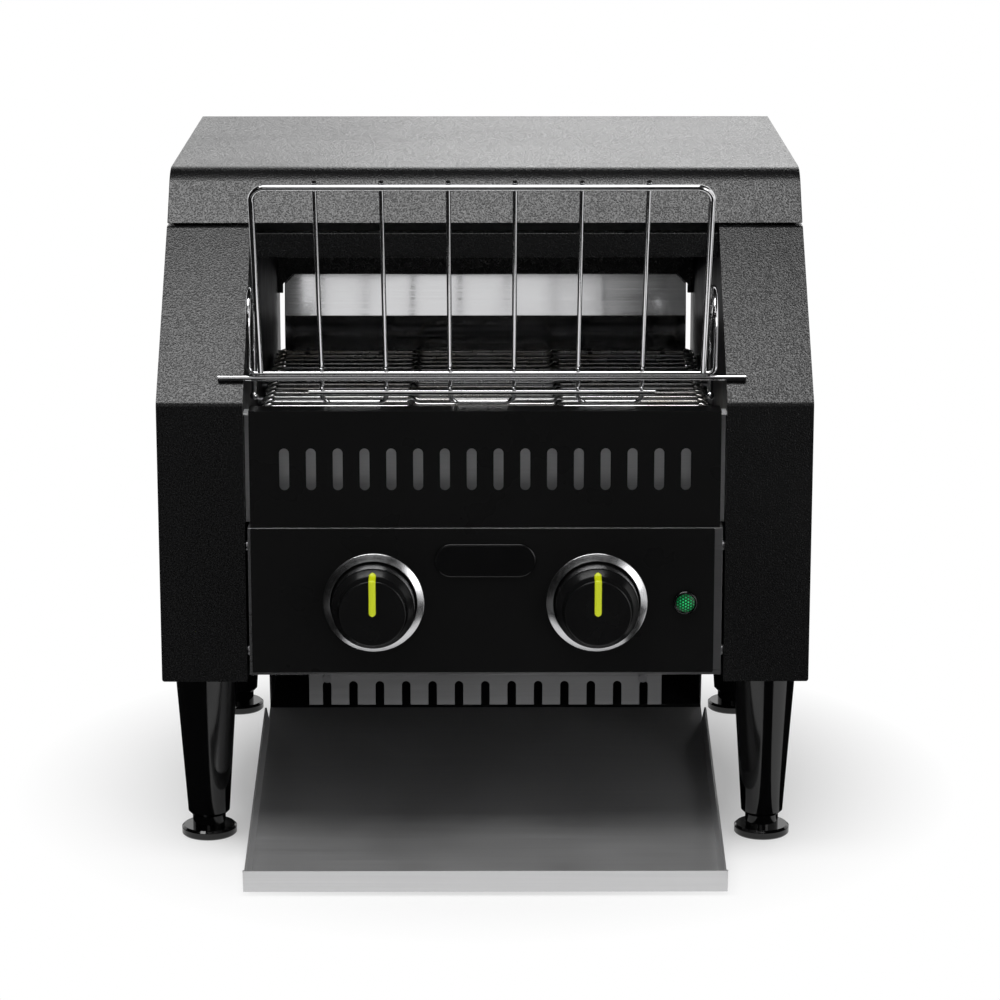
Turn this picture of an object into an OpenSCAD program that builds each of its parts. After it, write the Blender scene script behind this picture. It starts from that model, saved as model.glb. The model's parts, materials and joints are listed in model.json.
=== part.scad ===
// Conveyor toaster for the counter: bread slides down a wire rack onto a wire belt,
// passes between quartz heaters and returns down a chute to the tray in front.
// Millimetres, +Z up, origin on the counter under the middle of the whole machine.
// Inside the modules Y counts from the front plane of the side covers, backwards.

/* [Body] */
// Width over the side covers
overall_w = 368; // [340:1:420]
// Clear width between the inner walls
bay_w = 271; // [262:1:290]
// Depth from the front plane to the rear cover
body_d = 361; // [350:1:400]
// Height of the underside of the covers above the counter
base_h = 109; // [95:1:130]
// Height of the control zone above the covers' underside
control_zone_h = 90; // [84:1:100]
// Height of the vent panel
vent_h = 67; // [60:1:75]
// Height of the covers' slope
slope_h = 85.5; // [80:0.5:95]
// Distance that the covers slope back to the seam
slope_d = 92; // [80:1:96]
// Height of the top cover above the covers' seam
lid_h = 31; // [28:1:40]
// Shadow gap under the top cover
seam_gap = 2.4; // [1:0.2:4]
// Setback of the top cover's upper edge behind the slope
lid_setback = 27; // [20:1:34]
// Sheet thickness of covers and walls
sheet = 1.2; // [0.8:0.1:2]
// Radius of the top cover's front bend
top_bend = 12; // [6:1:16]
// Radius of the small bends of the covers
small_bend = 4; // [2:0.5:6]
// Radius of the covers' lower corners
cover_corner = 1.5; // [0.5:0.5:5]

/* [Legs] */
// Half spacing of the legs across the machine
leg_x = 163.3; // [155:0.1:165]
// Distance of the front legs from the front plane
leg_front = 55; // [40:1:80]
// Distance of the rear legs from the rear cover
leg_rear_inset = 55; // [40:1:80]
// Radius of a leg at its top
leg_top_r = 18.8; // [14:0.2:19]
// Radius of a leg at its lower end
leg_low_r = 12.2; // [10:0.2:14]
// Height of a foot's pad
pad_h = 5.5; // [5:0.5:10]
// Radius of a foot's pad
pad_r = 16.2; // [13:0.1:18]
// Height of the neck between pad and leg
neck_h = 6.7; // [4:0.1:8]
// Radius of the foot's stud
stud_r = 5; // [4:0.5:6]

/* [Front panels] */
// Width of the vent panel
vent_w = 265; // [250:1:268]
// Number of slots in the vent panel
vent_count = 16; // [10:1:17]
// Spacing of the slots in vent panel and comb
slot_pitch = 15.05; // [13:0.05:15.5]
// Width of a vent slot
vent_slot_w = 5.6; // [4:0.2:8]
// Height of a vent slot
vent_slot_h = 24.2; // [15:0.2:35]
// Rise of the fascia's lower edge above the covers' underside
fascia_rise = 3.8; // [1.6:0.2:8]
// Width of the steel fascia
fascia_w = 268; // [256:1:269]
// Width of the black control panel
panel_w = 262; // [250:1:264]
// Shift of the control panel to the left
panel_shift = 1.4; // [0:0.1:2]
// Depth of the control bay
control_bay_d = 95; // [80:1:100]
// Number of slots in the comb guard
comb_count = 13; // [9:2:13]
// Width of the comb guard
comb_w = 201; // [190:1:220]
// Depth of the comb guard below the fascia
comb_drop = 18.4; // [15:0.2:24]
// Width of a comb slot
comb_slot_w = 4.9; // [3:0.1:7]

/* [Controls] */
// Half spacing of the two knobs
knob_x = 63.2; // [55:0.2:80]
// Rise of the knobs and the pilot lamp above the covers' underside
knob_rise = 46.6; // [40:0.2:52]
// Radius of a knob's skirt
knob_r = 23.5; // [20:0.1:26]
// Radius of a knob's front face
knob_face_r = 18.8; // [14:0.2:20]
// Length of a knob
knob_len = 23.5; // [16:0.5:26]
// Radius of a bezel ring
bezel_r = 28.8; // [27:0.2:32]
// Thickness of a bezel ring
bezel_t = 2.6; // [2:0.2:6]
// Width of a knob's pointer
pointer_w = 4; // [3:0.1:6]
// Distance of the pilot lamp from the middle
lamp_x = 113.4; // [105:0.2:118]
// Radius of the pilot lamp's bezel
lamp_r = 6.9; // [5:0.1:9]
// Radius of a control's shaft
control_shaft_r = 3; // [2:0.5:4]

/* [Heating bay] */
// Height of the header panel
header_h = 14.1; // [10:0.1:20]
// Gap between the header panel and the covers' seam
header_gap = 4.4; // [3:0.1:8]
// Radius of a quartz tube
tube_r = 5; // [4:0.5:6]
// Number of quartz tubes above the belt, and below it
tube_count = 3; // [2:1:3]
// Depth of the upper quartz tubes below the covers' seam
upper_tube_drop = 17.5; // [15:0.5:20]

/* [Belt] */
// Depth of the belt's upper face below the covers' bend
belt_drop = 20.5; // [18:0.5:24]
// Width of the belt
belt_w = 264; // [250:1:266]
// Pitch of the belt's strands
belt_pitch = 12.7; // [12:0.1:13]
// Radius of the belt's wire
belt_wire_r = 1.05; // [0.8:0.05:1.3]
// Distance of the front shaft from the front plane
front_shaft_y = 44; // [42:0.5:48]
// Least distance of the rear shaft from the rear cover
rear_shaft_inset = 101; // [98:1:110]
// Distance of the strand joints from the middle
belt_joint_x = 42.5; // [35:0.5:60]
// Radius of the belt shafts
shaft_r = 5; // [4:0.5:6]

/* [Drive] */
// Pitch of the drive chain
chain_pitch = 8; // [8:0.5:9]
// Number of chain pitches between the two sprockets
chain_run = 13; // [11:1:14]
// Angle of the chain run below the drive shaft
chain_angle = 55; // [45:1:65]
// Distance of the chain's middle plane from the machine's middle
chain_x = 160; // [158:0.5:164]
// Size of the cooling fan's frame
fan_size = 80; // [60:1:90]

/* [Rear] */
// Depth of the rear opening below the belt's upper face
rear_drop = 56; // [50:1:62]
// Rise of the rear opening above the belt's upper face
rear_rise = 40; // [37:1:48]
// Width of the rear deflector
deflector_w = 263; // [250:1:268]
// Rise above the belt at which the deflector starts to lean back
deflector_bend_rise = 7; // [2:1:14]
// Rise of the deflector's upper edge above the belt
deflector_rise = 34; // [30:1:36]
// Lean of the deflector's upper part
deflector_lean = 11; // [5:1:14]
// Length of the mains gland behind the rear cover
gland_len = 12; // [8:1:18]

/* [Tray] */
// Width of the tray
tray_w = 272; // [260:1:276]
// Reach of the tray's lip in front of the front plane
tray_reach = 57; // [45:1:70]
// Slope of the tray
tray_angle = 10.3; // [8:0.1:11]
// Height of the lip
lip_h = 13.3; // [10:0.1:16]
// Height of the tray's front edge above the counter
tray_low_h = 2.3; // [1.5:0.1:4]
// Distance of the tray's rear edge behind the front plane
tray_rear = 165; // [150:1:180]

/* [Rack] */
// Width of the rack's frame between the middles of its wires
rack_w = 248; // [230:1:250]
// Length of the rack's slope above its ear bar
rack_len = 131.3; // [110:0.1:150]
// Lean of the rack towards the front
rack_lean = 27.6; // [20:0.2:35]
// Distance of the ear bar behind the front plane
rack_foot_y = 10.9; // [9:0.1:14]
// Shift of the loose rack to the left
rack_shift = 1.7; // [0:0.1:2.5]
// Length of the ear bar
ear_bar_w = 296; // [286:1:310]
// Radius of the frame's wire
rack_wire_r = 1.75; // [1.5:0.05:2.2]
// Radius of the slide wires
slide_wire_r = 1.3; // [1:0.05:1.6]
// Spacing of the slide wires
slide_pitch = 36; // [32:0.5:37]
// Half spacing of the side hoops
hoop_x = 130.5; // [129:0.25:131]
// Rise of the side hoops above their bar
hoop_rise = 45; // [36:1:46]
// Depth of a hoop's free end below the bar
hoop_drop = 21; // [16:1:23]

/* [Hidden] */

half_w = overall_w / 2;
wall_x = bay_w / 2;
leg_rear = body_d - leg_rear_inset;
panel_seam_h = base_h + control_zone_h;
vent_top_h = panel_seam_h + vent_h;
bend_h = vent_top_h + 4.5;
seam_h = bend_h + slope_h;
top_h = seam_h + lid_h;
top_setback = slope_d + lid_setback;
fascia_low_h = base_h + fascia_rise;
comb_low_h = fascia_low_h - comb_drop;
knob_h = base_h + knob_rise;
header_top_h = seam_h - header_gap;
header_low_h = header_top_h - header_h;
header_y = slope_d + 2;
belt_top_h = bend_h - belt_drop;
rear_low_h = belt_top_h - rear_drop;
rear_top_h = belt_top_h + rear_rise;
deflector_bend_h = belt_top_h + deflector_bend_rise;
deflector_top_h = belt_top_h + deflector_rise;
body_y = (tray_reach - body_d - gland_len) / 2;
base_sheet = 1.5;
rear_sheet = 1.2;
screw_r = 3.2;
// Clearance of a shaft in its bore, and of a piece fixed on a shaft
running_fit = 0.05;
key_fit = 0.02;
// Gap under a piece that only rests on another
rest_gap = 0.1;
// Depth to which welded wires bite into each other
weld = 0.05;

// --- shapes shared by several pieces ---

module in_body() translate([0, body_y, 0]) children();

module both_sides() {
    children();
    mirror([1, 0, 0]) children();
}

// Extrudes a (y, z) outline from x0 to x1
module across(x0, x1)
    translate([x0, 0, 0]) rotate([90, 0, 90]) linear_extrude(x1 - x0) children();

// Extrudes an (x, z) outline from y0 to y1
module facing(y0, y1)
    translate([0, y1, 0]) rotate([90, 0, 0]) linear_extrude(y1 - y0) children();

module rod_x(x0, x1, r, fn = 48)
    translate([x0, 0, 0]) rotate([0, 90, 0]) cylinder(h = x1 - x0, r = r, $fn = fn);

module rod_y(y0, y1, r, fn = 48)
    translate([0, y0, 0]) rotate([-90, 0, 0]) cylinder(h = y1 - y0, r = r, $fn = fn);

module slot_2d(w, h) {
    square([w, h - w], center = true);
    for (s = [-1, 1]) translate([0, s * (h - w) / 2]) circle(r = w / 2, $fn = 24);
}

module elbow(bend, r) rotate_extrude(angle = 90, $fn = 64) translate([bend, 0]) circle(r = r, $fn = 32);

// A U of wire in the XZ plane, open at the top, with its bottom bar at z = 0
module u_wire(w, h, bend, r) {
    rod_x(bend - w / 2, w / 2 - bend, r, 32);
    both_sides() {
        translate([w / 2 - bend, 0, bend]) rotate([90, 0, 0]) rotate([0, 0, -90]) elbow(bend, r);
        translate([w / 2, 0, bend]) cylinder(h = h - bend, r = r, $fn = 32);
    }
}

function unit(v) = v / norm(v);
function leftward(v) = [-v[1], v[0]];
function mitre(n0, n1) = (n0 + n1) / (1 + n0 * n1);

// A sheet of thickness t on the left of a path of bends, seen from its end
function folded(path, t) =
    let (last = len(path) - 1,
         sides = [for (i = [0:last - 1]) leftward(unit(path[i + 1] - path[i]))])
    concat(path, [for (i = [last:-1:0])
        path[i] + t * mitre(sides[max(i - 1, 0)], sides[min(i, last - 1)])]);

// A closed outline moved inwards by t; the outline runs anticlockwise
function inset(outline, t) =
    let (n = len(outline))
    [for (i = [0:n - 1])
        let (before = leftward(unit(outline[i] - outline[(i + n - 1) % n])),
             after = leftward(unit(outline[(i + 1) % n] - outline[i])))
        outline[i] + t * mitre(before, after)];

// The arc that rounds corner b between a and c
function corner_arc(a, b, c, r, steps = 6) =
    let (u = unit(a - b), w = unit(c - b), half = acos(u * w) / 2,
         middle = b + unit(u + w) * r / sin(half),
         from = b + u * r / tan(half) - middle, to = b + w * r / tan(half) - middle,
         way = cross(from, to) > 0 ? 1 : -1)
    [for (i = [0:steps])
        let (turn = way * (180 - 2 * half) * i / steps)
        middle + [from[0] * cos(turn) - from[1] * sin(turn), from[0] * sin(turn) + from[1] * cos(turn)]];

function rounded(outline, radii) =
    let (n = len(outline))
    [for (i = [0:n - 1])
        each radii[i] > 0
            ? corner_arc(outline[(i + n - 1) % n], outline[i], outline[(i + 1) % n], radii[i])
            : [outline[i]]];

function box_outline(x0, z0, x1, z1) = [[x0, z0], [x1, z0], [x1, z1], [x0, z1]];

// --- covers and walls ---

cover_back = body_d - rear_sheet;

function cover_outline(low, back) =
    [[0, low], [back, low], [back, seam_h], [slope_d, seam_h], [0, bend_h]];

// The same outline along the inner faces of the covers' sheet
function cover_inside(low, back) =
    rounded(inset(cover_outline(low - sheet, back + sheet), sheet), [0, 0, 0, 3 - sheet, small_bend - sheet]);

// Slots that let cooling air through a side cover
side_slot_count = 8;
side_slot_w = 5;
side_slot_h = 60;
side_slot_pitch = 11;

fan_y = body_d - 71;
fan_h = base_h + 66;

module side_cover() {
    difference() {
        intersection() {
            across(wall_x, half_w)
                polygon(rounded(cover_outline(base_h, cover_back), [0, 0, 0, 3, small_bend]));
            facing(-1, body_d) polygon(rounded(
                box_outline(0, base_h, half_w, seam_h + 1), [0, cover_corner, 0, 0]));
        }
        across(wall_x - 1, half_w - sheet) polygon(cover_inside(base_h - 1, body_d + 1));
        for (i = [0:side_slot_count - 1])
            across(half_w - 2 * sheet, half_w + 1)
                translate([fan_y + (i - (side_slot_count - 1) / 2) * side_slot_pitch, fan_h])
                    slot_2d(side_slot_w, side_slot_h);
    }
}

module left_side_cover() color("#3b3b3d") in_body() mirror([1, 0, 0]) side_cover();
module right_side_cover() color("#3b3b3d") in_body() side_cover();

base_margin = 5;

module pod_base() translate([wall_x, sheet, base_h])
    cube([half_w - base_margin - wall_x, cover_back - sheet, base_sheet]);

module left_base() color("#2b2b2c") in_body() mirror([1, 0, 0]) pod_base();
module right_base() color("#2b2b2c") in_body() pod_base();

// Shafts of the belt: the pitch circle of eight strands
belt_teeth = 8;
belt_r = belt_pitch / (2 * sin(180 / belt_teeth));
shaft_h = belt_top_h - belt_wire_r - belt_r;
belt_run = floor((body_d - front_shaft_y - rear_shaft_inset) / belt_pitch);
belt_run_d = belt_run * belt_pitch;
rear_shaft_y = front_shaft_y + belt_run_d;

holder_r = 8;
tube_hole_r = tube_r + 0.6;
bearing_r = 7.5;
bearing_clear = 0.1;

first_upper_y = header_y + 34;
upper_tube_d = rear_shaft_y - 22 - first_upper_y;

module at_upper_tubes() for (i = [0:tube_count - 1])
    translate([0, first_upper_y + upper_tube_d * i / (tube_count - 1), seam_h - upper_tube_drop]) children();
module at_lower_tubes() for (i = [1:tube_count])
    translate([0, front_shaft_y + belt_run_d * i / (tube_count + 1), shaft_h - 2.4]) children();
module at_shafts() for (y = [front_shaft_y, rear_shaft_y]) translate([0, y, shaft_h]) children();

module inner_wall() difference() {
    across(wall_x, wall_x + sheet) polygon(cover_inside(base_h + base_sheet, cover_back));
    at_shafts() rod_x(wall_x - 1, wall_x + 2 * sheet, bearing_r + bearing_clear);
    at_upper_tubes() rod_x(wall_x - 1, wall_x + 2 * sheet, tube_hole_r);
    at_lower_tubes() rod_x(wall_x - 1, wall_x + 2 * sheet, tube_hole_r);
}

module left_inner_wall() color("#6f7072") in_body() mirror([1, 0, 0]) inner_wall();
module right_inner_wall() color("#6f7072") in_body() inner_wall();

// Top cover: a shell with a sloped front, its rim held above the seam by two inner strips
lid_low = seam_h + seam_gap;
lid_front = slope_d + seam_gap;
lid_slope = (top_setback - lid_front) / (top_h - lid_low);
rim_w = 12;
strip_w = 9;

function lid_outline(low) =
    [[lid_front - (lid_low - low) * lid_slope, low], [body_d, low], [body_d, top_h], [top_setback, top_h]];

module top_cover() color("#3b3b3d") in_body() {
    difference() {
        across(-half_w, half_w) polygon(rounded(lid_outline(lid_low), [0, 0, small_bend, top_bend]));
        across(sheet - half_w, half_w - sheet)
            polygon(rounded(inset(lid_outline(lid_low - 3 * sheet), sheet),
                [0, 0, small_bend - sheet, top_bend - sheet]));
    }
    both_sides() {
        across(half_w - rim_w, half_w - sheet)
            polygon(box_outline(top_setback, lid_low, body_d - sheet, lid_low + sheet));
        across(half_w - rim_w, half_w - rim_w + strip_w)
            polygon(box_outline(top_setback, seam_h, body_d - rim_w, lid_low + sheet));
    }
}

header_flange = 18;

module header_panel() color("#2f2f31") in_body()
    across(-wall_x, wall_x)
        polygon(folded([[header_y + 12, header_top_h], [header_y, header_top_h],
                        [header_y, header_low_h], [header_y + header_flange, header_low_h]], sheet));

// --- front panels ---

vent_y = 2;
vent_flange = 14;
vent_middle_h = (panel_seam_h + vent_top_h) / 2;

module vent_panel() color("#1d1d1f") in_body() difference() {
    across(-vent_w / 2, vent_w / 2)
        polygon(folded([[vent_y + vent_flange, vent_top_h], [vent_y, vent_top_h],
                        [vent_y, panel_seam_h + 0.2], [vent_y + 10, panel_seam_h + 0.2]], sheet));
    facing(vent_y - 1, vent_y + 2 * sheet)
        for (i = [0:vent_count - 1])
            translate([(i - (vent_count - 1) / 2) * slot_pitch, vent_middle_h])
                slot_2d(vent_slot_w, vent_slot_h);
}

// Heat shield: a folded sheet behind the vent panel, over and behind the control bay
shield_y = 14;
shield_step_h = panel_seam_h + 2;

module front_shield() color("#8a8b8d") in_body()
    across(-wall_x, wall_x)
        polygon(folded([[vent_y + sheet, vent_top_h - sheet], [shield_y, vent_top_h - sheet],
                        [shield_y, shield_step_h], [control_bay_d, shield_step_h],
                        [control_bay_d, fascia_low_h]], -sheet));

fascia_y = 1;
panel_y = 0.2;
fascia_top_h = panel_seam_h - 0.2;
fascia_flange = 60;
shaft_hole_r = 5.2;
lamp_hole_r = 5.8;
side_screw_y = 8;
side_screw_h = [base_h + 16.6, base_h + 77.8];
side_head_t = 1.2;

module control_holes(grow = 0) {
    for (s = [-1, 1]) translate([s * knob_x, knob_h]) circle(r = shaft_hole_r + grow, $fn = 48);
    translate([lamp_x, knob_h]) circle(r = lamp_hole_r + grow, $fn = 48);
}

module control_fascia() color("#c9cacb") in_body() difference() {
    union() {
        across(-fascia_w / 2, fascia_w / 2)
            polygon(folded([[fascia_flange, fascia_top_h], [fascia_y, fascia_top_h],
                            [fascia_y, fascia_low_h], [control_bay_d - sheet, fascia_low_h]], sheet));
        both_sides() across(fascia_w / 2 - sheet, fascia_w / 2)
            polygon(box_outline(fascia_y, fascia_low_h, fascia_flange, fascia_top_h));
    }
    facing(fascia_y - 1, fascia_y + 2 * sheet) control_holes();
    both_sides() for (h = side_screw_h)
        translate([0, side_screw_y, h]) rod_x(fascia_w / 2 - 2 * sheet, fascia_w / 2 + 1, 2.1);
}

module control_panel() color("#151517") in_body() facing(panel_y, fascia_y) difference() {
    polygon(rounded(box_outline(-panel_w / 2 - panel_shift, fascia_low_h + 1.5,
        panel_w / 2 - panel_shift, fascia_top_h), [1, 1, 1, 1]));
    control_holes(0.3);
}

comb_y = 3;
comb_flange = 16;
comb_slot_top_h = base_h - 0.6;
comb_screw_x = 90;
comb_shank_r = 1.2;
comb_head_r = 2.4;
// The shanks pass under the guard's flange with a small gap
comb_screw_h = fascia_low_h - sheet - comb_shank_r - 0.2;

module comb_guard() color("#8d8e90") in_body() difference() {
    across(-comb_w / 2, comb_w / 2)
        polygon(folded([[comb_y + comb_flange, fascia_low_h], [comb_y, fascia_low_h],
                        [comb_y, comb_low_h]], sheet));
    facing(comb_y - 1, comb_y + 2 * sheet) for (i = [0:comb_count - 1])
        translate([(i - (comb_count - 1) / 2) * slot_pitch, comb_low_h]) {
            slot_2d(comb_slot_w, 2 * (comb_slot_top_h - comb_low_h));
        }
    facing(comb_y - 1, comb_y + 2 * sheet) for (s = [-1, 1])
        translate([s * comb_screw_x, comb_screw_h]) circle(r = comb_shank_r + bearing_clear, $fn = 24);
}

// Screws of the fascia's sides and of the comb guard
module panel_screws() color("#d6d7d8") in_body() {
    both_sides() for (h = side_screw_h) translate([0, side_screw_y, h]) {
        rod_x(fascia_w / 2, fascia_w / 2 + side_head_t, screw_r, 32);
        rod_x(fascia_w / 2 - 6, fascia_w / 2, 2, 24);
    }
    for (s = [-1, 1]) translate([s * comb_screw_x, 0, comb_screw_h]) {
        rod_y(comb_y - 1.3, comb_y, comb_head_r, 32);
        rod_y(comb_y, comb_y + 6, comb_shank_r, 24);
    }
}

// --- controls ---

module at_knob(side) translate([side * knob_x, 0, knob_h]) children();

// A solid turned round the Y axis from (radius, distance in front of the panel) points
module turned(points, fn = 72) translate([0, panel_y, 0]) rotate([90, 0, 0])
    rotate_extrude($fn = fn) polygon(points);

bezel_bore_r = knob_r + 0.8;

// Rings that rise towards the knob
module knob_bezels() color("#a5a6a8") in_body() for (side = [-1, 1]) at_knob(side)
    turned([[bezel_bore_r, 0], [bezel_r, 0], [bezel_r, 0.8], [bezel_bore_r + 0.4, bezel_t],
            [bezel_bore_r, bezel_t - 0.4]]);

knob_gap = 1.5;
knob_skirt_len = 12.5;
knob_edge = 1.2;
knob_shaft_depth = 13;
pointer_past = 1.5;
pointer_inset = 1.3;

function knob_profile(grow) =
    let (front = knob_gap + knob_len + grow, shoulder = knob_gap + knob_skirt_len,
         waist = knob_face_r + (knob_r - knob_face_r) * 0.45)
    [[0, knob_gap], [knob_r + grow, knob_gap],
     each corner_arc([knob_r + grow, knob_gap], [knob_r + grow - 0.3, shoulder + grow],
                     [waist, shoulder + 3 + grow], 2, 4),
     [knob_face_r + 0.8 + grow, shoulder + 4.5 + grow],
     each corner_arc([knob_face_r + 0.8 + grow, shoulder + 4.5 + grow], [knob_face_r + grow, front],
                     [0, front], knob_edge, 4),
     [0, front]];

module knob_body() difference() {
    turned(knob_profile(0));
    rod_y(panel_y - knob_gap - knob_shaft_depth, panel_y, control_shaft_r + key_fit, 36);
}

// The pointer runs from the shoulder over the edge to just past the middle of the face
module knob_pointer() difference() {
    intersection() {
        turned(knob_profile(0.6));
        translate([-pointer_w / 2, -knob_gap - knob_len - 2, -pointer_past])
            cube([pointer_w, knob_len + knob_gap, knob_r + pointer_past - pointer_inset]);
    }
    turned(knob_profile(0));
}

control_body_y = fascia_y + sheet;
shaft_end = 11;

module control_shaft()
    rod_y(panel_y - knob_gap - knob_shaft_depth, control_body_y + shaft_end, control_shaft_r, 36);

module speed_knob() color("#121213") in_body() at_knob(-1) knob_body();
module speed_pointer() color("#c3d600") in_body() at_knob(-1) knob_pointer();
module speed_shaft() color("#b5b6b8") in_body() at_knob(-1) control_shaft();
module heat_knob() color("#121213") in_body() at_knob(1) knob_body();
module heat_pointer() color("#c3d600") in_body() at_knob(1) knob_pointer();
module heat_shaft() color("#b5b6b8") in_body() at_knob(1) control_shaft();

module speed_control() color("#5b6b4f") in_body() at_knob(-1) difference() {
    union() {
        rod_y(control_body_y, control_body_y + 14, 12);
        translate([-8, control_body_y + 2, -20]) cube([16, 2, 12]);
    }
    rod_y(control_body_y - 1, control_body_y + shaft_end + rest_gap, control_shaft_r + running_fit, 36);
}

module heat_switch() color("#d8d4c4") in_body() at_knob(1) difference() {
    union() {
        translate([-17, control_body_y, -17]) cube([34, 32, 34]);
        for (s = [-1, 1]) translate([s * 9 - 3, control_body_y + 32, -4]) cube([6, 7, 0.8]);
    }
    rod_y(control_body_y - 1, control_body_y + shaft_end + rest_gap, control_shaft_r + running_fit, 36);
}

lamp_lens_r = 5.5;

module lamp_bezel() color("#0f0f10") in_body() translate([lamp_x, 0, knob_h]) difference() {
    union() {
        turned([[0, 0], [lamp_r, 0], [lamp_r, 1.6], [lamp_r - 0.8, 2.4], [0, 2.4]], 48);
        rod_y(panel_y, panel_y + 26, lamp_lens_r);
    }
    rod_y(-5, panel_y + 4, lamp_lens_r - 0.2);
}

module lamp_lens() color("#2fd14a") in_body() translate([lamp_x, panel_y + 4, knob_h]) rotate([90, 0, 0]) {
    cylinder(h = 6, r = lamp_lens_r - 0.25, $fn = 32);
    translate([0, 0, 6]) cylinder(h = 1.6, r1 = lamp_lens_r - 0.25, r2 = lamp_lens_r - 1.6, $fn = 32);
}

// --- heaters ---

reflector_y0 = header_y + header_flange;
reflector_y1 = body_d - 61;
reflector_h = seam_h - 7;

module upper_reflector() color("#bfc0c1") in_body() across(-wall_x, wall_x)
    polygon(folded([[reflector_y0 - 4, reflector_h - 8], [reflector_y0 + 4, reflector_h],
                    [reflector_y1 - 4, reflector_h], [reflector_y1 + 4, reflector_h - 8]], 0.8));

lower_reflector_h = shaft_h - belt_r + belt_wire_r + 4;
lower_reflector_y = front_shaft_y + belt_r + 8;
lower_reflector_back = rear_shaft_y - belt_r - 8;

module lower_reflector() color("#bfc0c1") in_body() across(-wall_x, wall_x)
    polygon(folded([[lower_reflector_y, lower_reflector_h + 4], [lower_reflector_y + 4, lower_reflector_h],
                    [lower_reflector_back - 4, lower_reflector_h],
                    [lower_reflector_back, lower_reflector_h + 4]], 0.8));

holder_len = 11;
tube_seat = 9;
tube_end = wall_x + sheet + tube_seat;

module upper_tubes() color("#d9d6cf") in_body() at_upper_tubes() rod_x(-tube_end, tube_end, tube_r, 36);
module lower_tubes() color("#d9d6cf") in_body() at_lower_tubes() rod_x(-tube_end, tube_end, tube_r, 36);

module tube_holder() difference() {
    rod_x(wall_x + sheet, wall_x + sheet + holder_len, holder_r, 36);
    rod_x(wall_x, tube_end, tube_r + running_fit, 36);
}

module tube_holders() color("#e6e2d6") in_body() both_sides() {
    at_upper_tubes() tube_holder();
    at_lower_tubes() tube_holder();
}

// --- belt ---

// The belt's path starts on top of the front shaft; one strand sits at each whole pitch.
// On a shaft the strands stand at equal angles, on the runs at equal distances.
arc_pitches = belt_teeth / 2;
loop_pitches = 2 * belt_run + belt_teeth;

function on_loop(s) = (s % loop_pitches + loop_pitches) % loop_pitches;
function loop_turn(s) =
    s < belt_run ? 0
    : s < belt_run + arc_pitches ? (s - belt_run) * 180 / arc_pitches
    : s < 2 * belt_run + arc_pitches ? 180
    : 180 + (s - 2 * belt_run - arc_pitches) * 180 / arc_pitches;
function loop_middle(s) =
    s < belt_run ? s
    : s < belt_run + arc_pitches ? belt_run
    : s < 2 * belt_run + arc_pitches ? 2 * belt_run + arc_pitches - s
    : 0;
function loop_normal(s) = let (a = loop_turn(on_loop(s))) [0, sin(a), cos(a)];
function loop_point(x, s) =
    [x, front_shaft_y + loop_middle(on_loop(s)) * belt_pitch, shaft_h] + belt_r * loop_normal(s);

// One strand: hooked ends, two outer spaces on its pitch line and a middle space
// that steps back by a Z bend at each joint. Each entry is (x, pitches along the belt).
edge_x = belt_w / 2 - belt_wire_r;
hook_w = 5;
middle_step = 0.55;
joint_half = 1.8;
strand_half = [[edge_x - hook_w, 0.74], [edge_x, 0.42], [edge_x - hook_w, 0],
               [belt_joint_x + joint_half, 0], [belt_joint_x - joint_half, -middle_step]];
strand = concat(strand_half, [for (i = [len(strand_half) - 1:-1:0]) [-strand_half[i][0], strand_half[i][1]]]);
strand_sides = 6;

module wire(points, normals) {
    last = len(points) - 1;
    rings = [for (i = [0:last])
        let (along = unit(points[min(i + 1, last)] - points[max(i - 1, 0)]),
             side = unit(cross(along, normals[i])))
        for (j = [0:strand_sides - 1])
            let (a = 360 * j / strand_sides)
            points[i] + belt_wire_r * (cos(a) * side + sin(a) * cross(side, along))];
    walls = [for (i = [0:last - 1]) for (j = [0:strand_sides - 1])
        let (a = i * strand_sides + j, b = i * strand_sides + (j + 1) % strand_sides)
        [a, b, b + strand_sides, a + strand_sides]];
    ends = [[for (j = [strand_sides - 1:-1:0]) j], [for (j = [0:strand_sides - 1]) last * strand_sides + j]];
    polyhedron(rings, concat(walls, ends));
}

module conveyor_belt() color("#b9babc") in_body() for (k = [0:loop_pitches - 1])
    wire([for (p = strand) loop_point(p[0], k + p[1])], [for (p = strand) loop_normal(k + p[1])]);

// Rods that carry the upper run
rod_r = 2.5;
rod_count = 4;
rod_h = belt_top_h - 2 * belt_wire_r - 0.3 - rod_r;

module belt_rods() color("#9a9b9d") in_body() for (i = [1:rod_count])
    translate([0, front_shaft_y + belt_run_d * i / (rod_count + 1), rod_h]) rod_x(-wall_x, wall_x, rod_r, 32);

flange_r = 15;
flange_t = 1.8;
sleeve_len = 4;

module shaft_bearings() color("#2a2a2b") in_body() both_sides() at_shafts() difference() {
    union() {
        rod_x(wall_x - flange_t, wall_x, flange_r);
        rod_x(wall_x, wall_x + sheet + sleeve_len, bearing_r);
    }
    rod_x(wall_x - 5, wall_x + 10, shaft_r + running_fit);
}

// A toothed wheel whose gaps hold the strands or rollers on a pitch circle
function wheel_outline(teeth, root_r, tip_r, root_half, tip_half) =
    [for (k = [0:teeth - 1]) let (a = 90 + (k + 0.5) * 360 / teeth)
        for (p = [[root_r, -root_half], [tip_r, -tip_half], [tip_r, tip_half], [root_r, root_half]])
            p[0] * [cos(a + p[1]), sin(a + p[1])]];

belt_wheel_xs = [-112, -66, 66, 112];
belt_wheel_t = 3;
belt_hub_len = 9;

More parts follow.
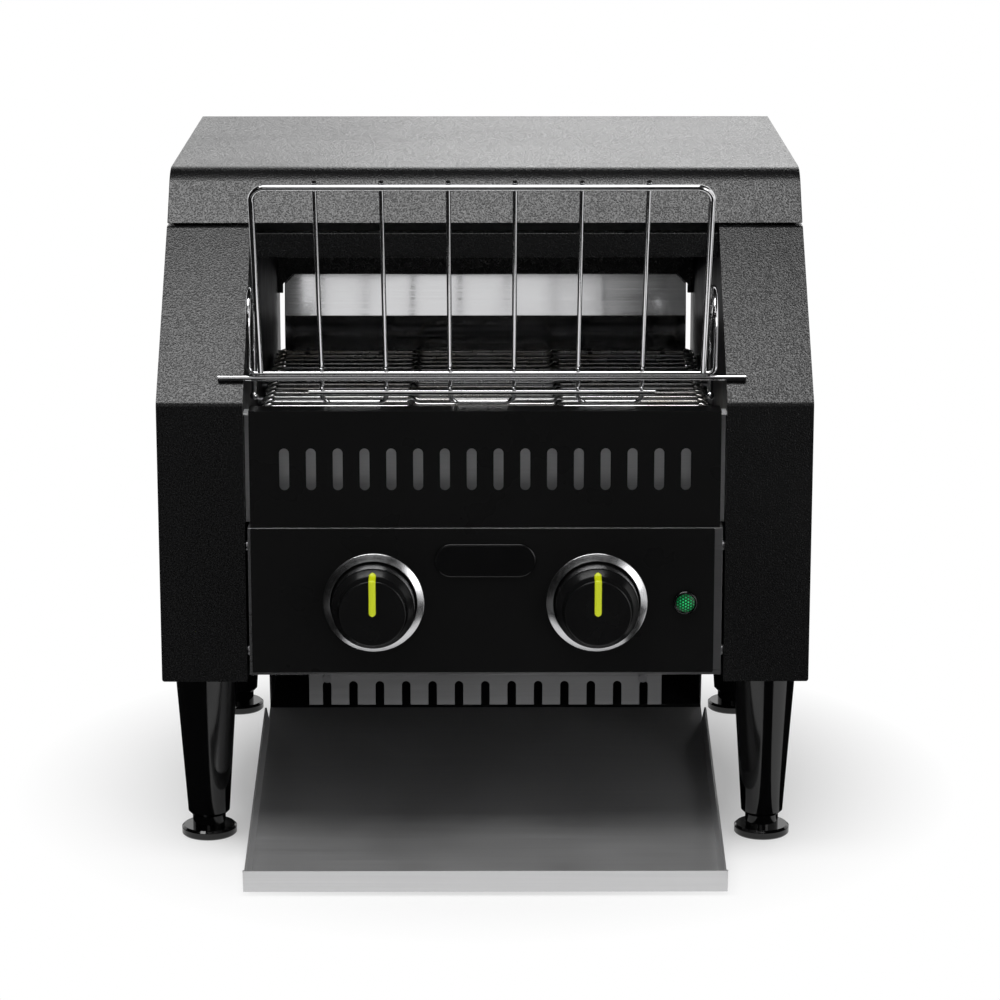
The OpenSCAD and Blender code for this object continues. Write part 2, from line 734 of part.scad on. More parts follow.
module belt_wheels() for (x = belt_wheel_xs) difference() {
    union() {
        across(x - belt_wheel_t / 2, x + belt_wheel_t / 2)
            polygon(wheel_outline(belt_teeth, belt_r - belt_wire_r - 0.25, belt_r + 2.2, 10, 4.5));
        rod_x(x - belt_hub_len / 2, x + belt_hub_len / 2, shaft_r + 4);
    }
    rod_x(x - belt_hub_len, x + belt_hub_len, shaft_r + key_fit);
}

shaft_past_wall = 7;
wheel_t = 3;

module at_drive_shaft() in_body() translate([0, rear_shaft_y, shaft_h]) children();
module at_idler_shaft() in_body() translate([0, front_shaft_y, shaft_h]) children();

module drive_shaft() color("#a9aaac") at_drive_shaft()
    rod_x(-wall_x - shaft_past_wall, chain_x + 6, shaft_r);
module drive_sprockets() color("#8f9092") at_drive_shaft() belt_wheels();
module idler_shaft() color("#a9aaac") at_idler_shaft()
    rod_x(-wall_x - shaft_past_wall, wall_x + shaft_past_wall, shaft_r);
module idler_sprockets() color("#8f9092") at_idler_shaft() belt_wheels();

// --- drive ---

chain_teeth = 12;
chain_r = chain_pitch / (2 * sin(180 / chain_teeth));
roller_r = 2.4;
motor_y = rear_shaft_y - chain_run * chain_pitch * cos(chain_angle);
motor_h = shaft_h - chain_run * chain_pitch * sin(chain_angle);
motor_shaft_r = 4;

module chain_wheel(bore_r) difference() {
    union() {
        across(chain_x - wheel_t / 2, chain_x + wheel_t / 2) rotate(chain_angle)
            polygon(wheel_outline(chain_teeth, chain_r - roller_r - 0.2, chain_r + 2, 5.5, 2.5));
        rod_x(chain_x - 5, chain_x + 5, bore_r + 4);
    }
    rod_x(chain_x - 10, chain_x + 10, bore_r);
}

module driven_sprocket() color("#8f9092") at_drive_shaft() chain_wheel(shaft_r + key_fit);
module motor_sprocket() color("#8f9092") in_body() translate([0, motor_y, motor_h]) {
    chain_wheel(motor_shaft_r);
    rod_x(motor_shaft_x, chain_x + 5, motor_shaft_r, 36);
}

// The chain's loop from the motor up to the drive shaft, one roller at each pitch
chain_arc = chain_teeth / 2;
chain_step = 360 / chain_teeth;
chain_links = 2 * chain_run + chain_teeth;
plate_t = 0.9;

function chain_spot(k) =
    let (s = k % chain_links,
         upper = (s - chain_run) * chain_step,
         lower = (s - 2 * chain_run - chain_arc) * chain_step)
    s < chain_run ? [s * chain_pitch, chain_r]
    : s < chain_run + chain_arc ? [chain_run * chain_pitch + chain_r * sin(upper), chain_r * cos(upper)]
    : s < 2 * chain_run + chain_arc ? [(2 * chain_run + chain_arc - s) * chain_pitch, -chain_r]
    : [-chain_r * sin(lower), -chain_r * cos(lower)];

module roller_chain() color("#77787a") in_body() translate([0, motor_y, motor_h])
    rotate([chain_angle, 0, 0]) for (k = [0:chain_links - 1]) {
        here = chain_spot(k);
        next = chain_spot(k + 1);
        way = atan2(next[1] - here[1], next[0] - here[0]);
        reach = k % 2 == 0 ? 2.1 : 3.05;
        translate([0, here[0], here[1]]) {
            rod_x(chain_x - 3.9, chain_x + 3.9, roller_r - 0.6, 16);
            rotate([way, 0, 0]) for (s = [-1, 1])
                translate([chain_x + s * (reach + plate_t / 2) - plate_t / 2, 0, -1.9])
                    cube([plate_t, chain_pitch, 3.8]);
        }
    }

gearbox_t = 14;
gearbox_d = 46;
gearbox_h = 48;
gearbox_front = -chain_r - 4.5;
motor_r = 16;
motor_len = 58;
motor_shaft_x = wall_x + sheet + gearbox_t - 9;

module gear_motor() color("#6b6c6e") in_body() translate([0, motor_y, motor_h]) difference() {
    union() {
        translate([wall_x + sheet, gearbox_front, -gearbox_h / 2]) cube([gearbox_t, gearbox_d, gearbox_h]);
        translate([wall_x + sheet + motor_r + 1, 0, -4])
            rod_y(gearbox_front - motor_len, gearbox_front, motor_r);
    }
    rod_x(motor_shaft_x - rest_gap, half_w, motor_shaft_r + running_fit, 36);
}

// --- fan and wiring ---

fan_t = 25;
fan_x = sheet - half_w;
fan_bore_r = fan_size / 2 - 2;
fan_hub_r = 15;
fan_pin_r = 2;
blade_count = 7;

module at_fan() in_body() translate([fan_x, fan_y, fan_h]) children();

module fan_frame() color("#1b1b1c") at_fan() {
    difference() {
        across(0, fan_t) polygon(rounded(
            box_outline(-fan_size / 2, -fan_size / 2, fan_size / 2, fan_size / 2), [4, 4, 4, 4]));
        rod_x(-1, fan_t + 1, fan_bore_r, 72);
    }
    for (a = [45, 165, 285]) rotate([a, 0, 0]) translate([fan_t - 3, fan_hub_r - 4, -2])
        cube([3, fan_bore_r - fan_hub_r + 5, 4]);
    rod_x(fan_t - 3, fan_t, fan_hub_r);
    rod_x(6, fan_t - 2, fan_pin_r, 24);
}

module fan_rotor() color("#232324") at_fan() difference() {
    union() {
        rod_x(4, fan_t - 4, fan_hub_r);
        for (k = [0:blade_count - 1]) rotate([360 * k / blade_count, 0, 0])
            translate([fan_t / 2 - 1, fan_hub_r - 2, 0]) rotate([0, 35, 0])
                translate([-0.7, 0, -9]) cube([1.4, fan_bore_r - fan_hub_r - 1, 18]);
    }
    rod_x(5, fan_t, fan_pin_r + running_fit, 24);
}

module terminal_block() color("#e9e7df") in_body()
    translate([-wall_x - sheet - 26, body_d / 3, base_h + base_sheet]) difference() {
        cube([18, 60, 20]);
        for (i = [0:4]) translate([9, 8 + 11 * i, 12]) cylinder(h = 9, r = 3, $fn = 24);
    }

// --- rear ---

gland_x = 22 - half_w;
gland_h = base_h + 26;
gland_r = 8;
rear_corner = 8;
rear_opening_w = bay_w;
rear_slot_count = 6;

module rear_cover() color("#3b3b3d") in_body() facing(cover_back, body_d) difference() {
    polygon(rounded(box_outline(-half_w, base_h, half_w, seam_h), [cover_corner, cover_corner, 0, 0]));
    polygon([[-rear_opening_w / 2, rear_low_h], [rear_opening_w / 2, rear_low_h],
             [rear_opening_w / 2, rear_top_h - rear_corner], [rear_opening_w / 2 - rear_corner, rear_top_h],
             [rear_corner - rear_opening_w / 2, rear_top_h],
             [-rear_opening_w / 2, rear_top_h - rear_corner]]);
    for (s = [-1, 1]) for (i = [0:rear_slot_count - 1])
        translate([s * (half_w + wall_x) / 2, rear_low_h + i * 14]) rotate(90) slot_2d(4, 28);
    translate([gland_x, gland_h]) circle(r = gland_r + bearing_clear, $fn = 48);
}

// Baffle: hangs in front of the deflector's upper edge and over its cut corners
baffle_y = body_d - 24;
baffle_h = belt_top_h + 52;
baffle_low_h = deflector_top_h + 1.7;
baffle_side_h = belt_top_h + 23;
baffle_side_x = deflector_w / 2 + 0.4;
deflector_chamfer = 5.5;
baffle_chamfer = deflector_chamfer + 1.2;

module rear_baffle() color("#2f2f31") in_body() difference() {
    across(-wall_x, wall_x)
        polygon(folded([[cover_back, baffle_h], [baffle_y, baffle_h], [baffle_y, baffle_side_h]], sheet));
    facing(baffle_y - 1, baffle_y + 2 * sheet)
        polygon([[-baffle_side_x, baffle_side_h - 1], [baffle_side_x, baffle_side_h - 1],
                 [baffle_side_x, baffle_low_h - baffle_chamfer],
                 [baffle_side_x - baffle_chamfer, baffle_low_h],
                 [baffle_chamfer - baffle_side_x, baffle_low_h],
                 [-baffle_side_x, baffle_low_h - baffle_chamfer]]);
}

module mains_gland() color("#19191a") in_body() translate([gland_x, 0, gland_h]) difference() {
    union() {
        rod_y(cover_back - 8, body_d + gland_len, gland_r);
        rod_y(body_d, body_d + 4, gland_r + 3.5, 6);
        rod_y(cover_back - 5, cover_back, gland_r + 3.5, 6);
    }
    rod_y(cover_back - 9, body_d + gland_len + 1, gland_r - 4);
}

deflector_y = body_d - 18;
deflector_flange = body_d + 5;

module rear_deflector() color("#cfd0d1") in_body() intersection() {
    across(-deflector_w / 2, deflector_w / 2)
        polygon(folded([[deflector_flange, rear_low_h + rest_gap], [deflector_y, rear_low_h + rest_gap],
                        [deflector_y, deflector_bend_h],
                        [deflector_y + (deflector_top_h - deflector_bend_h) * tan(deflector_lean),
                         deflector_top_h]], -sheet));
    facing(0, body_d + 20)
        polygon([[-deflector_w / 2, rear_low_h], [deflector_w / 2, rear_low_h],
                 [deflector_w / 2, deflector_top_h - deflector_chamfer],
                 [deflector_w / 2 - deflector_chamfer, deflector_top_h + 1],
                 [deflector_chamfer - deflector_w / 2, deflector_top_h + 1],
                 [-deflector_w / 2, deflector_top_h - deflector_chamfer]]);
}

// Return chute: its front end steps down under the tray's rear edge
tray_front = lip_h * sin(tray_angle) - tray_reach;
chute_gap = 2;
chute_w = 267.4;
chute_back = body_d - 20;
chute_cheek = 42;

function tray_h(y) = tray_low_h + (y - tray_front) * tan(tray_angle);

chute_path = [[tray_rear - 15, tray_h(tray_rear - 15) - rest_gap],
              [tray_rear + chute_gap, tray_h(tray_rear + chute_gap) - rest_gap],
              [tray_rear + chute_gap + 2, tray_h(tray_rear + chute_gap + 2) + sheet],
              [tray_rear + 70, tray_h(tray_rear + 70) + sheet],
              [chute_back - 41, rear_low_h - 106], [chute_back - 9, rear_low_h - 54],
              [chute_back, rear_low_h + 2]];

module return_chute() color("#b4b5b7") in_body() {
    across(-chute_w / 2, chute_w / 2) polygon(folded(chute_path, -sheet));
    cheek_path = [for (i = [2:len(chute_path) - 1]) chute_path[i]];
    both_sides() {
        across(chute_w / 2 - sheet, chute_w / 2) polygon(folded(cheek_path, chute_cheek));
        for (spot = [[chute_back - 41, rear_low_h - 69], [chute_back - 16, rear_low_h - 24]])
            translate([0, spot[0], spot[1]]) rod_x(chute_w / 2 - sheet / 2, wall_x, 6, 32);
    }
}

// --- tray ---

tray_sheet = 1.2;
dimple_r = 5;
flange_h = 11.5;
flange_lean = 9.5;
flange_set = 2.5;
flange_len = (tray_rear - 20 - tray_front) / cos(tray_angle);

// A floor with a lip in front and a flange along each side that leans outwards
module tray() color("#c4c5c6") in_body() {
    lip_top = [-tray_reach, tray_low_h + lip_h * cos(tray_angle)];
    rear_end = [tray_rear, tray_h(tray_rear)];
    front_end = [tray_front, tray_low_h];
    floor_x = tray_w / 2 - flange_set;
    across(-floor_x, floor_x) polygon(folded([rear_end, front_end, lip_top], -tray_sheet));
    across(-tray_w / 2, tray_w / 2) polygon(folded([front_end, lip_top], -tray_sheet));
    both_sides() {
        translate([floor_x, tray_front, tray_low_h]) rotate([tray_angle, 0, 0]) rotate([0, flange_lean, 0])
            translate([-tray_sheet, 0, 0]) cube([tray_sheet, flange_len, flange_h]);
        translate([tray_w / 2 - 36, tray_front + 15, 0.2])
            cylinder(h = tray_h(tray_front + 15), r = dimple_r, $fn = 36);
    }
}

// --- rack ---

// The rack's own frame: origin in the ear bar, Z up along the leaning plane, +Y to the belt
slope_angle = atan2(seam_h - bend_h, slope_d);
rack_foot_h = bend_h + rack_foot_y * tan(slope_angle) + (rack_wire_r + rest_gap) / cos(slope_angle);

module on_rack() in_body() translate([-rack_shift, rack_foot_y, rack_foot_h]) rotate([rack_lean, 0, 0])
    children();

hoop_r = 1.5;
lower_bar_r = 1.5;
lower_bar_w = 195;
lower_bar_drop = 10.6;
frame_bend = 8;
hairpin_bend = 5;
hairpin_drop = 20;
hoop_bar_rise = rack_wire_r + hoop_r - weld;

module rack_frame() color("#d8d9da") on_rack()
    translate([0, 0, rack_len]) mirror([0, 0, 1])
        u_wire(rack_w, rack_len - hoop_bar_rise - hoop_r + weld, frame_bend, rack_wire_r);

module rack_bars() color("#d8d9da") on_rack() {
    rod_x(-ear_bar_w / 2, ear_bar_w / 2, rack_wire_r, 32);
    translate([0, rack_wire_r - lower_bar_r, -lower_bar_drop])
        rod_x(-lower_bar_w / 2, lower_bar_w / 2, lower_bar_r, 32);
}

module rack_wires() color("#d8d9da") on_rack()
    for (i = [-1, 0, 1]) translate([2 * i * slide_pitch, rack_wire_r + slide_wire_r - weld, -hairpin_drop])
        u_wire(slide_pitch, hairpin_drop + rack_len + rack_wire_r, hairpin_bend, slide_wire_r);

// Side hoops: one wire that lies on the ear bar and rises at each end into a hoop along the feed
hoop_corner = 4;
hoop_bend = 18;
hoop_reach = 40;
hoop_ball_r = 2.4;

module at_hoop_bar() in_body()
    translate([-rack_shift, rack_foot_y - hoop_bar_rise * sin(rack_lean),
               rack_foot_h + hoop_bar_rise * cos(rack_lean)]) children();

// A hoop in the YZ plane: front leg at y = 0, free rear leg with a ball at its end
module side_hoop() {
    translate([0, 0, hoop_corner]) cylinder(h = hoop_rise - hoop_bend - hoop_corner, r = hoop_r, $fn = 32);
    translate([0, hoop_bend, hoop_rise - hoop_bend])
        rotate([90, 0, 90]) rotate([0, 0, 90]) elbow(hoop_bend, hoop_r);
    translate([0, 0, hoop_rise]) rod_y(hoop_bend, hoop_reach - hoop_bend, hoop_r, 32);
    translate([0, hoop_reach - hoop_bend, hoop_rise - hoop_bend])
        rotate([90, 0, 90]) elbow(hoop_bend, hoop_r);
    translate([0, hoop_reach, -hoop_drop]) {
        cylinder(h = hoop_rise - hoop_bend + hoop_drop, r = hoop_r, $fn = 32);
        sphere(r = hoop_ball_r, $fn = 32);
    }
}

module rack_hoops() color("#d8d9da") at_hoop_bar() {
    rod_x(hoop_corner - hoop_x, hoop_x - hoop_corner, hoop_r, 32);
    both_sides() {
        translate([hoop_x - hoop_corner, 0, hoop_corner])
            rotate([90, 0, 0]) rotate([0, 0, -90]) elbow(hoop_corner, hoop_r);
        translate([hoop_x, 0, 0]) side_hoop();
    }
}

// --- legs and feet ---

leg_low_h = pad_h + neck_h + 0.3;
leg_edge = 2;
neck_r = 9.7;
bore_depth = 45;
stud_len = 34;

module legs() color("#111112") in_body() both_sides() for (y = [leg_front, leg_rear])
    translate([leg_x, y, 0]) difference() {
        rotate_extrude($fn = 64) polygon([[0, leg_low_h], [leg_low_r - leg_edge, leg_low_h],
            [leg_low_r, leg_low_h + leg_edge], [leg_top_r, base_h], [0, base_h]]);
        cylinder(h = leg_low_h + bore_depth, r = stud_r + running_fit, $fn = 48);
    }

module foot(side, y) color("#111112") in_body() translate([side * leg_x, y, 0]) {
    rotate_extrude($fn = 64) polygon([[0, 0], [pad_r - 0.8, 0], [pad_r, 0.8], [pad_r, pad_h - 1.2],
        [pad_r - 1.2, pad_h], [neck_r, pad_h], [neck_r, pad_h + neck_h], [stud_r, pad_h + neck_h],
        [stud_r, pad_h + neck_h + stud_len], [0, pad_h + neck_h + stud_len]]);
}

module front_left_foot() foot(-1, leg_front);
module front_right_foot() foot(1, leg_front);
module rear_left_foot() foot(-1, leg_rear);
module rear_right_foot() foot(1, leg_rear);

left_base();
right_base();
left_inner_wall();
right_inner_wall();
left_side_cover();
right_side_cover();
top_cover();
header_panel();
vent_panel();
front_shield();
control_fascia();
control_panel();
panel_screws();
comb_guard();
knob_bezels();
lamp_bezel();
lamp_lens();
speed_control();
heat_switch();
speed_knob();
speed_pointer();
speed_shaft();
heat_knob();
heat_pointer();
heat_shaft();
upper_reflector();
lower_reflector();
upper_tubes();
lower_tubes();
tube_holders();
conveyor_belt();
belt_rods();
shaft_bearings();
drive_shaft();
drive_sprockets();
idler_shaft();
idler_sprockets();
gear_motor();
motor_sprocket();
driven_sprocket();
roller_chain();
fan_frame();
fan_rotor();
terminal_block();
rear_cover();
rear_baffle();
mains_gland();
rear_deflector();
return_chute();
tray();
rack_frame();
rack_bars();
rack_wires();
rack_hoops();
legs();
front_left_foot();
front_right_foot();
rear_left_foot();
rear_right_foot();
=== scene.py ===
import json
import math
import bmesh
import bpy
import numpy as np
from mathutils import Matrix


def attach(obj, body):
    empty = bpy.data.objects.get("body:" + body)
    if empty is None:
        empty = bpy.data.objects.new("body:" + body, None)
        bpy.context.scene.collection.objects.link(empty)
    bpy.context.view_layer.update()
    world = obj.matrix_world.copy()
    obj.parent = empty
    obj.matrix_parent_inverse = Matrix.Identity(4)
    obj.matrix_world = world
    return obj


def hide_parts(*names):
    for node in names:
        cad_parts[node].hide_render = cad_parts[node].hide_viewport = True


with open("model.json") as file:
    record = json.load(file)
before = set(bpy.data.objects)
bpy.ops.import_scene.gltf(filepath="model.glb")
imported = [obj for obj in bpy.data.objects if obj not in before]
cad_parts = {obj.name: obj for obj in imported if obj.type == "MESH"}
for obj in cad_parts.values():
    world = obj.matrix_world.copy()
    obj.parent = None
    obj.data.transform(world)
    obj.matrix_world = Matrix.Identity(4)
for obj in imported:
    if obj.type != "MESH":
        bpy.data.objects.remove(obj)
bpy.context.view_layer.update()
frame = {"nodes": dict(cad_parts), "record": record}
print("frame loaded:", len(frame["nodes"]), "nodes")

mm = 0.001                 # pieces are sized in millimetres; the camera, finishes and studio in metres
frontY = -0.158            # the covers' front plane, from which the pieces' sizes count Y

# middles of the knobs and the lamp, the Y of the panel's face, and the lamp's lens; finishes use them too
controls = {"x": 63.2, "z": 155.6, "lampX": 113.4, "panel": 0.2}
lensSizes = {"radius": 5.25, "crown": 3.3, "fall": 1.3, "bead": 1.5, "rise": 0.2, "rim": 0.5, "base": -3.6,
             "rings": 46, "sides": 150}
beadWays = (0, math.pi / 3, 2 * math.pi / 3)          # the beads stand where three sets of waves meet

# the camera that the scene is seen from, in metres and degrees
camera = {"place": (0.00174, -2.0553, 0.6736), "turn": (76.421, 0.0, -0.2), "lens": 124.96, "sensor": 36.0,
          "reach": (0.05, 60.0)}


def linked(made):
    bpy.context.scene.collection.objects.link(made)
    return made


def makeCamera(c):
    data = bpy.data.cameras.new("viewCamera")
    data.lens, data.sensor_width = c["lens"], c["sensor"]
    data.clip_start, data.clip_end = c["reach"]
    body = linked(bpy.data.objects.new("viewCamera", data))
    body.location = c["place"]
    body.rotation_euler = [math.radians(a) for a in c["turn"]]
    bpy.context.scene.camera = body


makeCamera(camera)
bpy.context.scene.view_settings.view_transform = "Standard"


class Wire:
    # an output socket of a material being built; arithmetic on it adds Math nodes
    def __init__(self, tree, socket=None):
        self.tree, self.socket = tree, socket

    def node(self, kind, settings=None, sockets=None, out=0):
        # a new node with its settings, then its sockets' values or links; gives back the output named out
        made = self.tree.nodes.new(kind)
        for name, value in (settings or {}).items():
            setattr(made, name, value)
        for name, value in (sockets or {}).items():
            if isinstance(value, Wire):
                self.tree.links.new(value.socket, made.inputs[name])
            else:
                made.inputs[name].default_value = value
        return Wire(self.tree, made.outputs[out] if len(made.outputs) else None)

    def maths(self, operation, *values):
        return self.node("ShaderNodeMath", {"operation": operation}, dict(enumerate(values)))

    def __add__(self, other):
        return self.maths("ADD", self, other)

    def __radd__(self, other):
        return self.maths("ADD", other, self)

    def __sub__(self, other):
        return self.maths("SUBTRACT", self, other)

    def __rsub__(self, other):
        return self.maths("SUBTRACT", other, self)

    def __mul__(self, other):
        return self.maths("MULTIPLY", self, other)

    def __rmul__(self, other):
        return self.maths("MULTIPLY", other, self)

    def __pow__(self, other):
        return self.maths("POWER", self, other)

    def __abs__(self):
        return self.maths("ABSOLUTE", self)

    def cosine(self):
        return self.maths("COSINE", self)

    def larger(self, other):
        return self.maths("MAXIMUM", self, other)

    def part(self, axis):
        return self.node("ShaderNodeSeparateXYZ", None, {0: self}, axis)

    def length(self):
        return self.node("ShaderNodeVectorMath", {"operation": "LENGTH"}, {0: self}, "Value")

    def scaled(self, x, y, z):
        return self.node("ShaderNodeVectorMath", {"operation": "MULTIPLY"}, {0: self, 1: (x, y, z)})

    def noise(self, scale, detail=2.0, rough=0.5):
        return self.node("ShaderNodeTexNoise", None,
                         {"Vector": self, "Scale": scale, "Detail": detail, "Roughness": rough})

    def blend(self, other, share):
        # this share of self and the rest of other
        return self * share + other * (1 - share)

    def tint(self, low, high):
        # a colour between two, self going from 0 to 1; 6, 7 and 2 are the Mix node's colour sockets
        return self.node("ShaderNodeMix", {"data_type": "RGBA"}, {0: self, 6: (*low, 1), 7: (*high, 1)}, 2)

    def spread(self, low, high, start=0.3, end=0.7):
        # a number between two, self going from start to end
        return self.node("ShaderNodeMapRange", None,
                         {"Value": self, "From Min": start, "From Max": end, "To Min": low, "To Max": high})

    def bump(self, depth):
        return self.node("ShaderNodeBump", None, {"Height": self, "Distance": depth, "Strength": 1.0})


def emptyTree(owner):
    # the node tree of a material or of the world, cleared for new nodes
    owner.use_nodes = True
    owner.node_tree.nodes.clear()
    return Wire(owner.node_tree)


def makeMaterial(name, build):
    material = bpy.data.materials.new(name)
    at = emptyTree(material).node("ShaderNodeTexCoord", out="Object")
    shader = at.node("ShaderNodeBsdfPrincipled", None, build(at))
    at.node("ShaderNodeOutputMaterial", None, {"Surface": shader})
    return material


def fromMiddle(x, z):
    return (x * x + z * z) ** 0.5


# the finishes: clouds, patches and grains are so many to the metre, and depths are in metres
coatLook = {"tone": ((0.0008, 0.0008, 0.0009), (0.0075, 0.0075, 0.008)), "gloss": 0.34, "grain": 1120,
            "detail": 0.6, "depth": 0.000085, "rough": (0.38, 0.22), "roughSpan": (0.1, 0.9), "patch": 14,
            "drift": (-0.02, 0.03), "skin": (0.0, 0.42), "skinSpan": (0.15, 0.8), "skinRough": 0.24}


def coat(at):
    # black powder coat: soft pebbled grain whose crests carry a clear skin over the duller pits
    c = coatLook
    crest = at.noise(c["grain"], c["detail"]).spread(0.0, 1.0)
    rough = crest.spread(*c["rough"], *c["roughSpan"]) + at.noise(c["patch"]).spread(*c["drift"])
    return {"Base Color": crest.tint(*c["tone"]), "Roughness": rough, "Specular IOR Level": c["gloss"],
            "Coat Weight": crest.spread(*c["skin"], *c["skinSpan"]), "Coat Roughness": c["skinRough"],
            "Normal": crest.bump(c["depth"])}


panelLook = {"tone": ((0.0048, 0.0048, 0.0049), (0.0062, 0.0062, 0.0063)), "gloss": 0.12, "cloud": 9,
             "rough": (0.26, 0.34), "patch": 30, "rolled": 420, "squeeze": (1, 1, 3), "depth": 0.00002}


def panelBlack(at):
    # smooth black film on the front panels, with a trace of rolled texture
    c = panelLook
    return {"Base Color": at.noise(c["cloud"]).tint(*c["tone"]), "Specular IOR Level": c["gloss"],
            "Roughness": at.noise(c["patch"], detail=3.0).spread(*c["rough"]),
            "Normal": at.scaled(*c["squeeze"]).noise(c["rolled"]).bump(c["depth"])}


sheetLook = {"across": 900.0, "along": 9.0, "cloud": 16, "share": 0.6, "dull": 0.88, "rough": (-0.05, 0.06)}


def brushed(lengthwise, tone, rough, depth=0.00001, metal=1.0):
    # rolled or brushed sheet: fine lines along one axis, in tone, roughness and height
    def build(at):
        c = sheetLook
        squeeze = [c["across"]] * 3
        squeeze[lengthwise] = c["along"]
        lines = at.scaled(*squeeze).noise(1.0, detail=3.0, rough=0.6)
        cloud = at.noise(c["cloud"], detail=3.0)
        spots = lines.blend(cloud, c["share"]).spread(0.0, 1.0)
        ends = [rough + change for change in c["rough"]]
        return {"Base Color": spots.tint([t * c["dull"] for t in tone], tone), "Metallic": metal,
                "Roughness": lines.blend(cloud, 0.5).spread(*ends), "Normal": lines.bump(depth)}
    return build


chromeLook = {"tone": ((0.70, 0.70, 0.71), (0.80, 0.80, 0.81)), "cloud": 25, "rough": (0.07, 0.15),
              "haze": 60, "lines": 700, "depth": 0.000006}


def chrome(at):
    # bright plating with faint drawing lines and a breath of haze
    c = chromeLook
    return {"Base Color": at.noise(c["cloud"]).tint(*c["tone"]), "Metallic": 1.0,
            "Roughness": at.noise(c["haze"], detail=3.0).spread(*c["rough"]),
            "Normal": at.noise(c["lines"]).bump(c["depth"])}


wireLook = {"tone": ((0.60, 0.60, 0.60), (0.46, 0.42, 0.37)), "heat": 18, "heatSpan": (0.45, 0.72),
            "rough": (0.2, 0.34), "patch": 90, "grain": 1500, "depth": 0.000015}


def beltWire(at):
    # stainless wire that has been hot: straw and brown clouds over grey
    c = wireLook
    heat = at.noise(c["heat"], detail=3.0).spread(0.0, 1.0, *c["heatSpan"])
    return {"Base Color": heat.tint(*c["tone"]), "Metallic": 1.0,
            "Roughness": at.noise(c["patch"], detail=3.0).spread(*c["rough"]),
            "Normal": at.noise(c["grain"], detail=1.0).bump(c["depth"])}


machinedLook = {"tone": ((0.30, 0.30, 0.31), (0.40, 0.40, 0.41)), "cloud": 40, "rings": (2600, 300, 300),
                "rough": (0.28, 0.42), "depth": 0.00001}


def machined(at):
    # turned and cut steel: fine tool rings spaced along X
    c = machinedLook
    rings = at.scaled(*c["rings"]).noise(1.0)
    return {"Base Color": at.noise(c["cloud"]).tint(*c["tone"]), "Metallic": 1.0,
            "Roughness": rings.spread(*c["rough"]), "Normal": rings.bump(c["depth"])}


ringLook = {"tone": ((0.50, 0.50, 0.51), (0.72, 0.72, 0.73)), "share": 0.7, "circles": 4200.0, "cloud": 260,
            "rough": (0.2, 0.27), "depth": 0.000004}


def ringSteel(at):
    # satin rings turned on a lathe: fine circles round each ring's own middle, and a little cloud
    c = ringLook
    radius = fromMiddle(abs(at.part("X")) - controls["x"] * mm, at.part("Z") - controls["z"] * mm)
    circles = at.node("ShaderNodeTexNoise", {"noise_dimensions": "1D"},
                      {"W": radius, "Scale": c["circles"], "Detail": 2.0})
    cloud = at.noise(c["cloud"], detail=3.0)
    return {"Base Color": circles.blend(cloud, c["share"]).tint(*c["tone"]), "Metallic": 1.0,
            "Roughness": cloud.spread(*c["rough"]), "Normal": circles.bump(c["depth"])}


mouldLook = {"cloud": 22, "dull": 0.86, "patch": 55, "rough": (-0.04, 0.05)}


def moulded(tone, rough, grain, depth, gloss=0.5):
    # moulded plastic or glazed clay: even colour, slight clouding, fine skin
    def build(at):
        c = mouldLook
        ends = [rough + change for change in c["rough"]]
        return {"Base Color": at.noise(c["cloud"]).tint([t * c["dull"] for t in tone], tone),
                "Roughness": at.noise(c["patch"], detail=3.0).spread(*ends),
                "Specular IOR Level": gloss, "Normal": at.noise(grain).bump(depth)}
    return build


quartzLook = {"tone": ((0.66, 0.65, 0.62), (0.80, 0.79, 0.76)), "milk": (30, 200, 200), "rough": (0.2, 0.34),
              "clear": 0.35, "grain": 500, "depth": 0.00001}


def quartz(at):
    # milky quartz tube, with its streaks along X
    c = quartzLook
    milk = at.scaled(*c["milk"]).noise(1.0)
    return {"Base Color": milk.tint(*c["tone"]), "Roughness": milk.spread(*c["rough"]),
            "Transmission Weight": c["clear"], "Normal": at.noise(c["grain"]).bump(c["depth"])}


lensLook = {"tone": ((0.0, 0.025, 0.006), (0.006, 0.26, 0.07)), "power": 0.8, "gloss": 0.3,
            "glow": ((0.0, 0.012, 0.003), (0.01, 0.5, 0.14)), "rough": (0.3, 0.2), "roughSpan": (-1.0, 2.0),
            "litSpan": (-0.6, 2.2), "fade": (1.0, 0.12), "fadeSpan": (0.0018, 0.0052)}


def lensGreen(at):
    # clear green moulding over a lit socket: bright beads on a triangular grid, fading to a dark rim
    c = lensLook
    x, z = at.part("X") - controls["lampX"] * mm, at.part("Z") - controls["z"] * mm
    k = 2 * math.pi / (lensSizes["bead"] * mm)
    ways = [(x * math.cos(t) + z * math.sin(t)) * k for t in beadWays]
    beads = sum(way.cosine() for way in ways)
    lit = beads.spread(0.0, 1.0, *c["litSpan"]) * fromMiddle(x, z).spread(*c["fade"], *c["fadeSpan"])
    return {"Base Color": lit.tint(*c["tone"]), "Roughness": beads.spread(*c["rough"], *c["roughSpan"]),
            "Specular IOR Level": c["gloss"], "Emission Color": lit.tint(*c["glow"]),
            "Emission Strength": c["power"]}


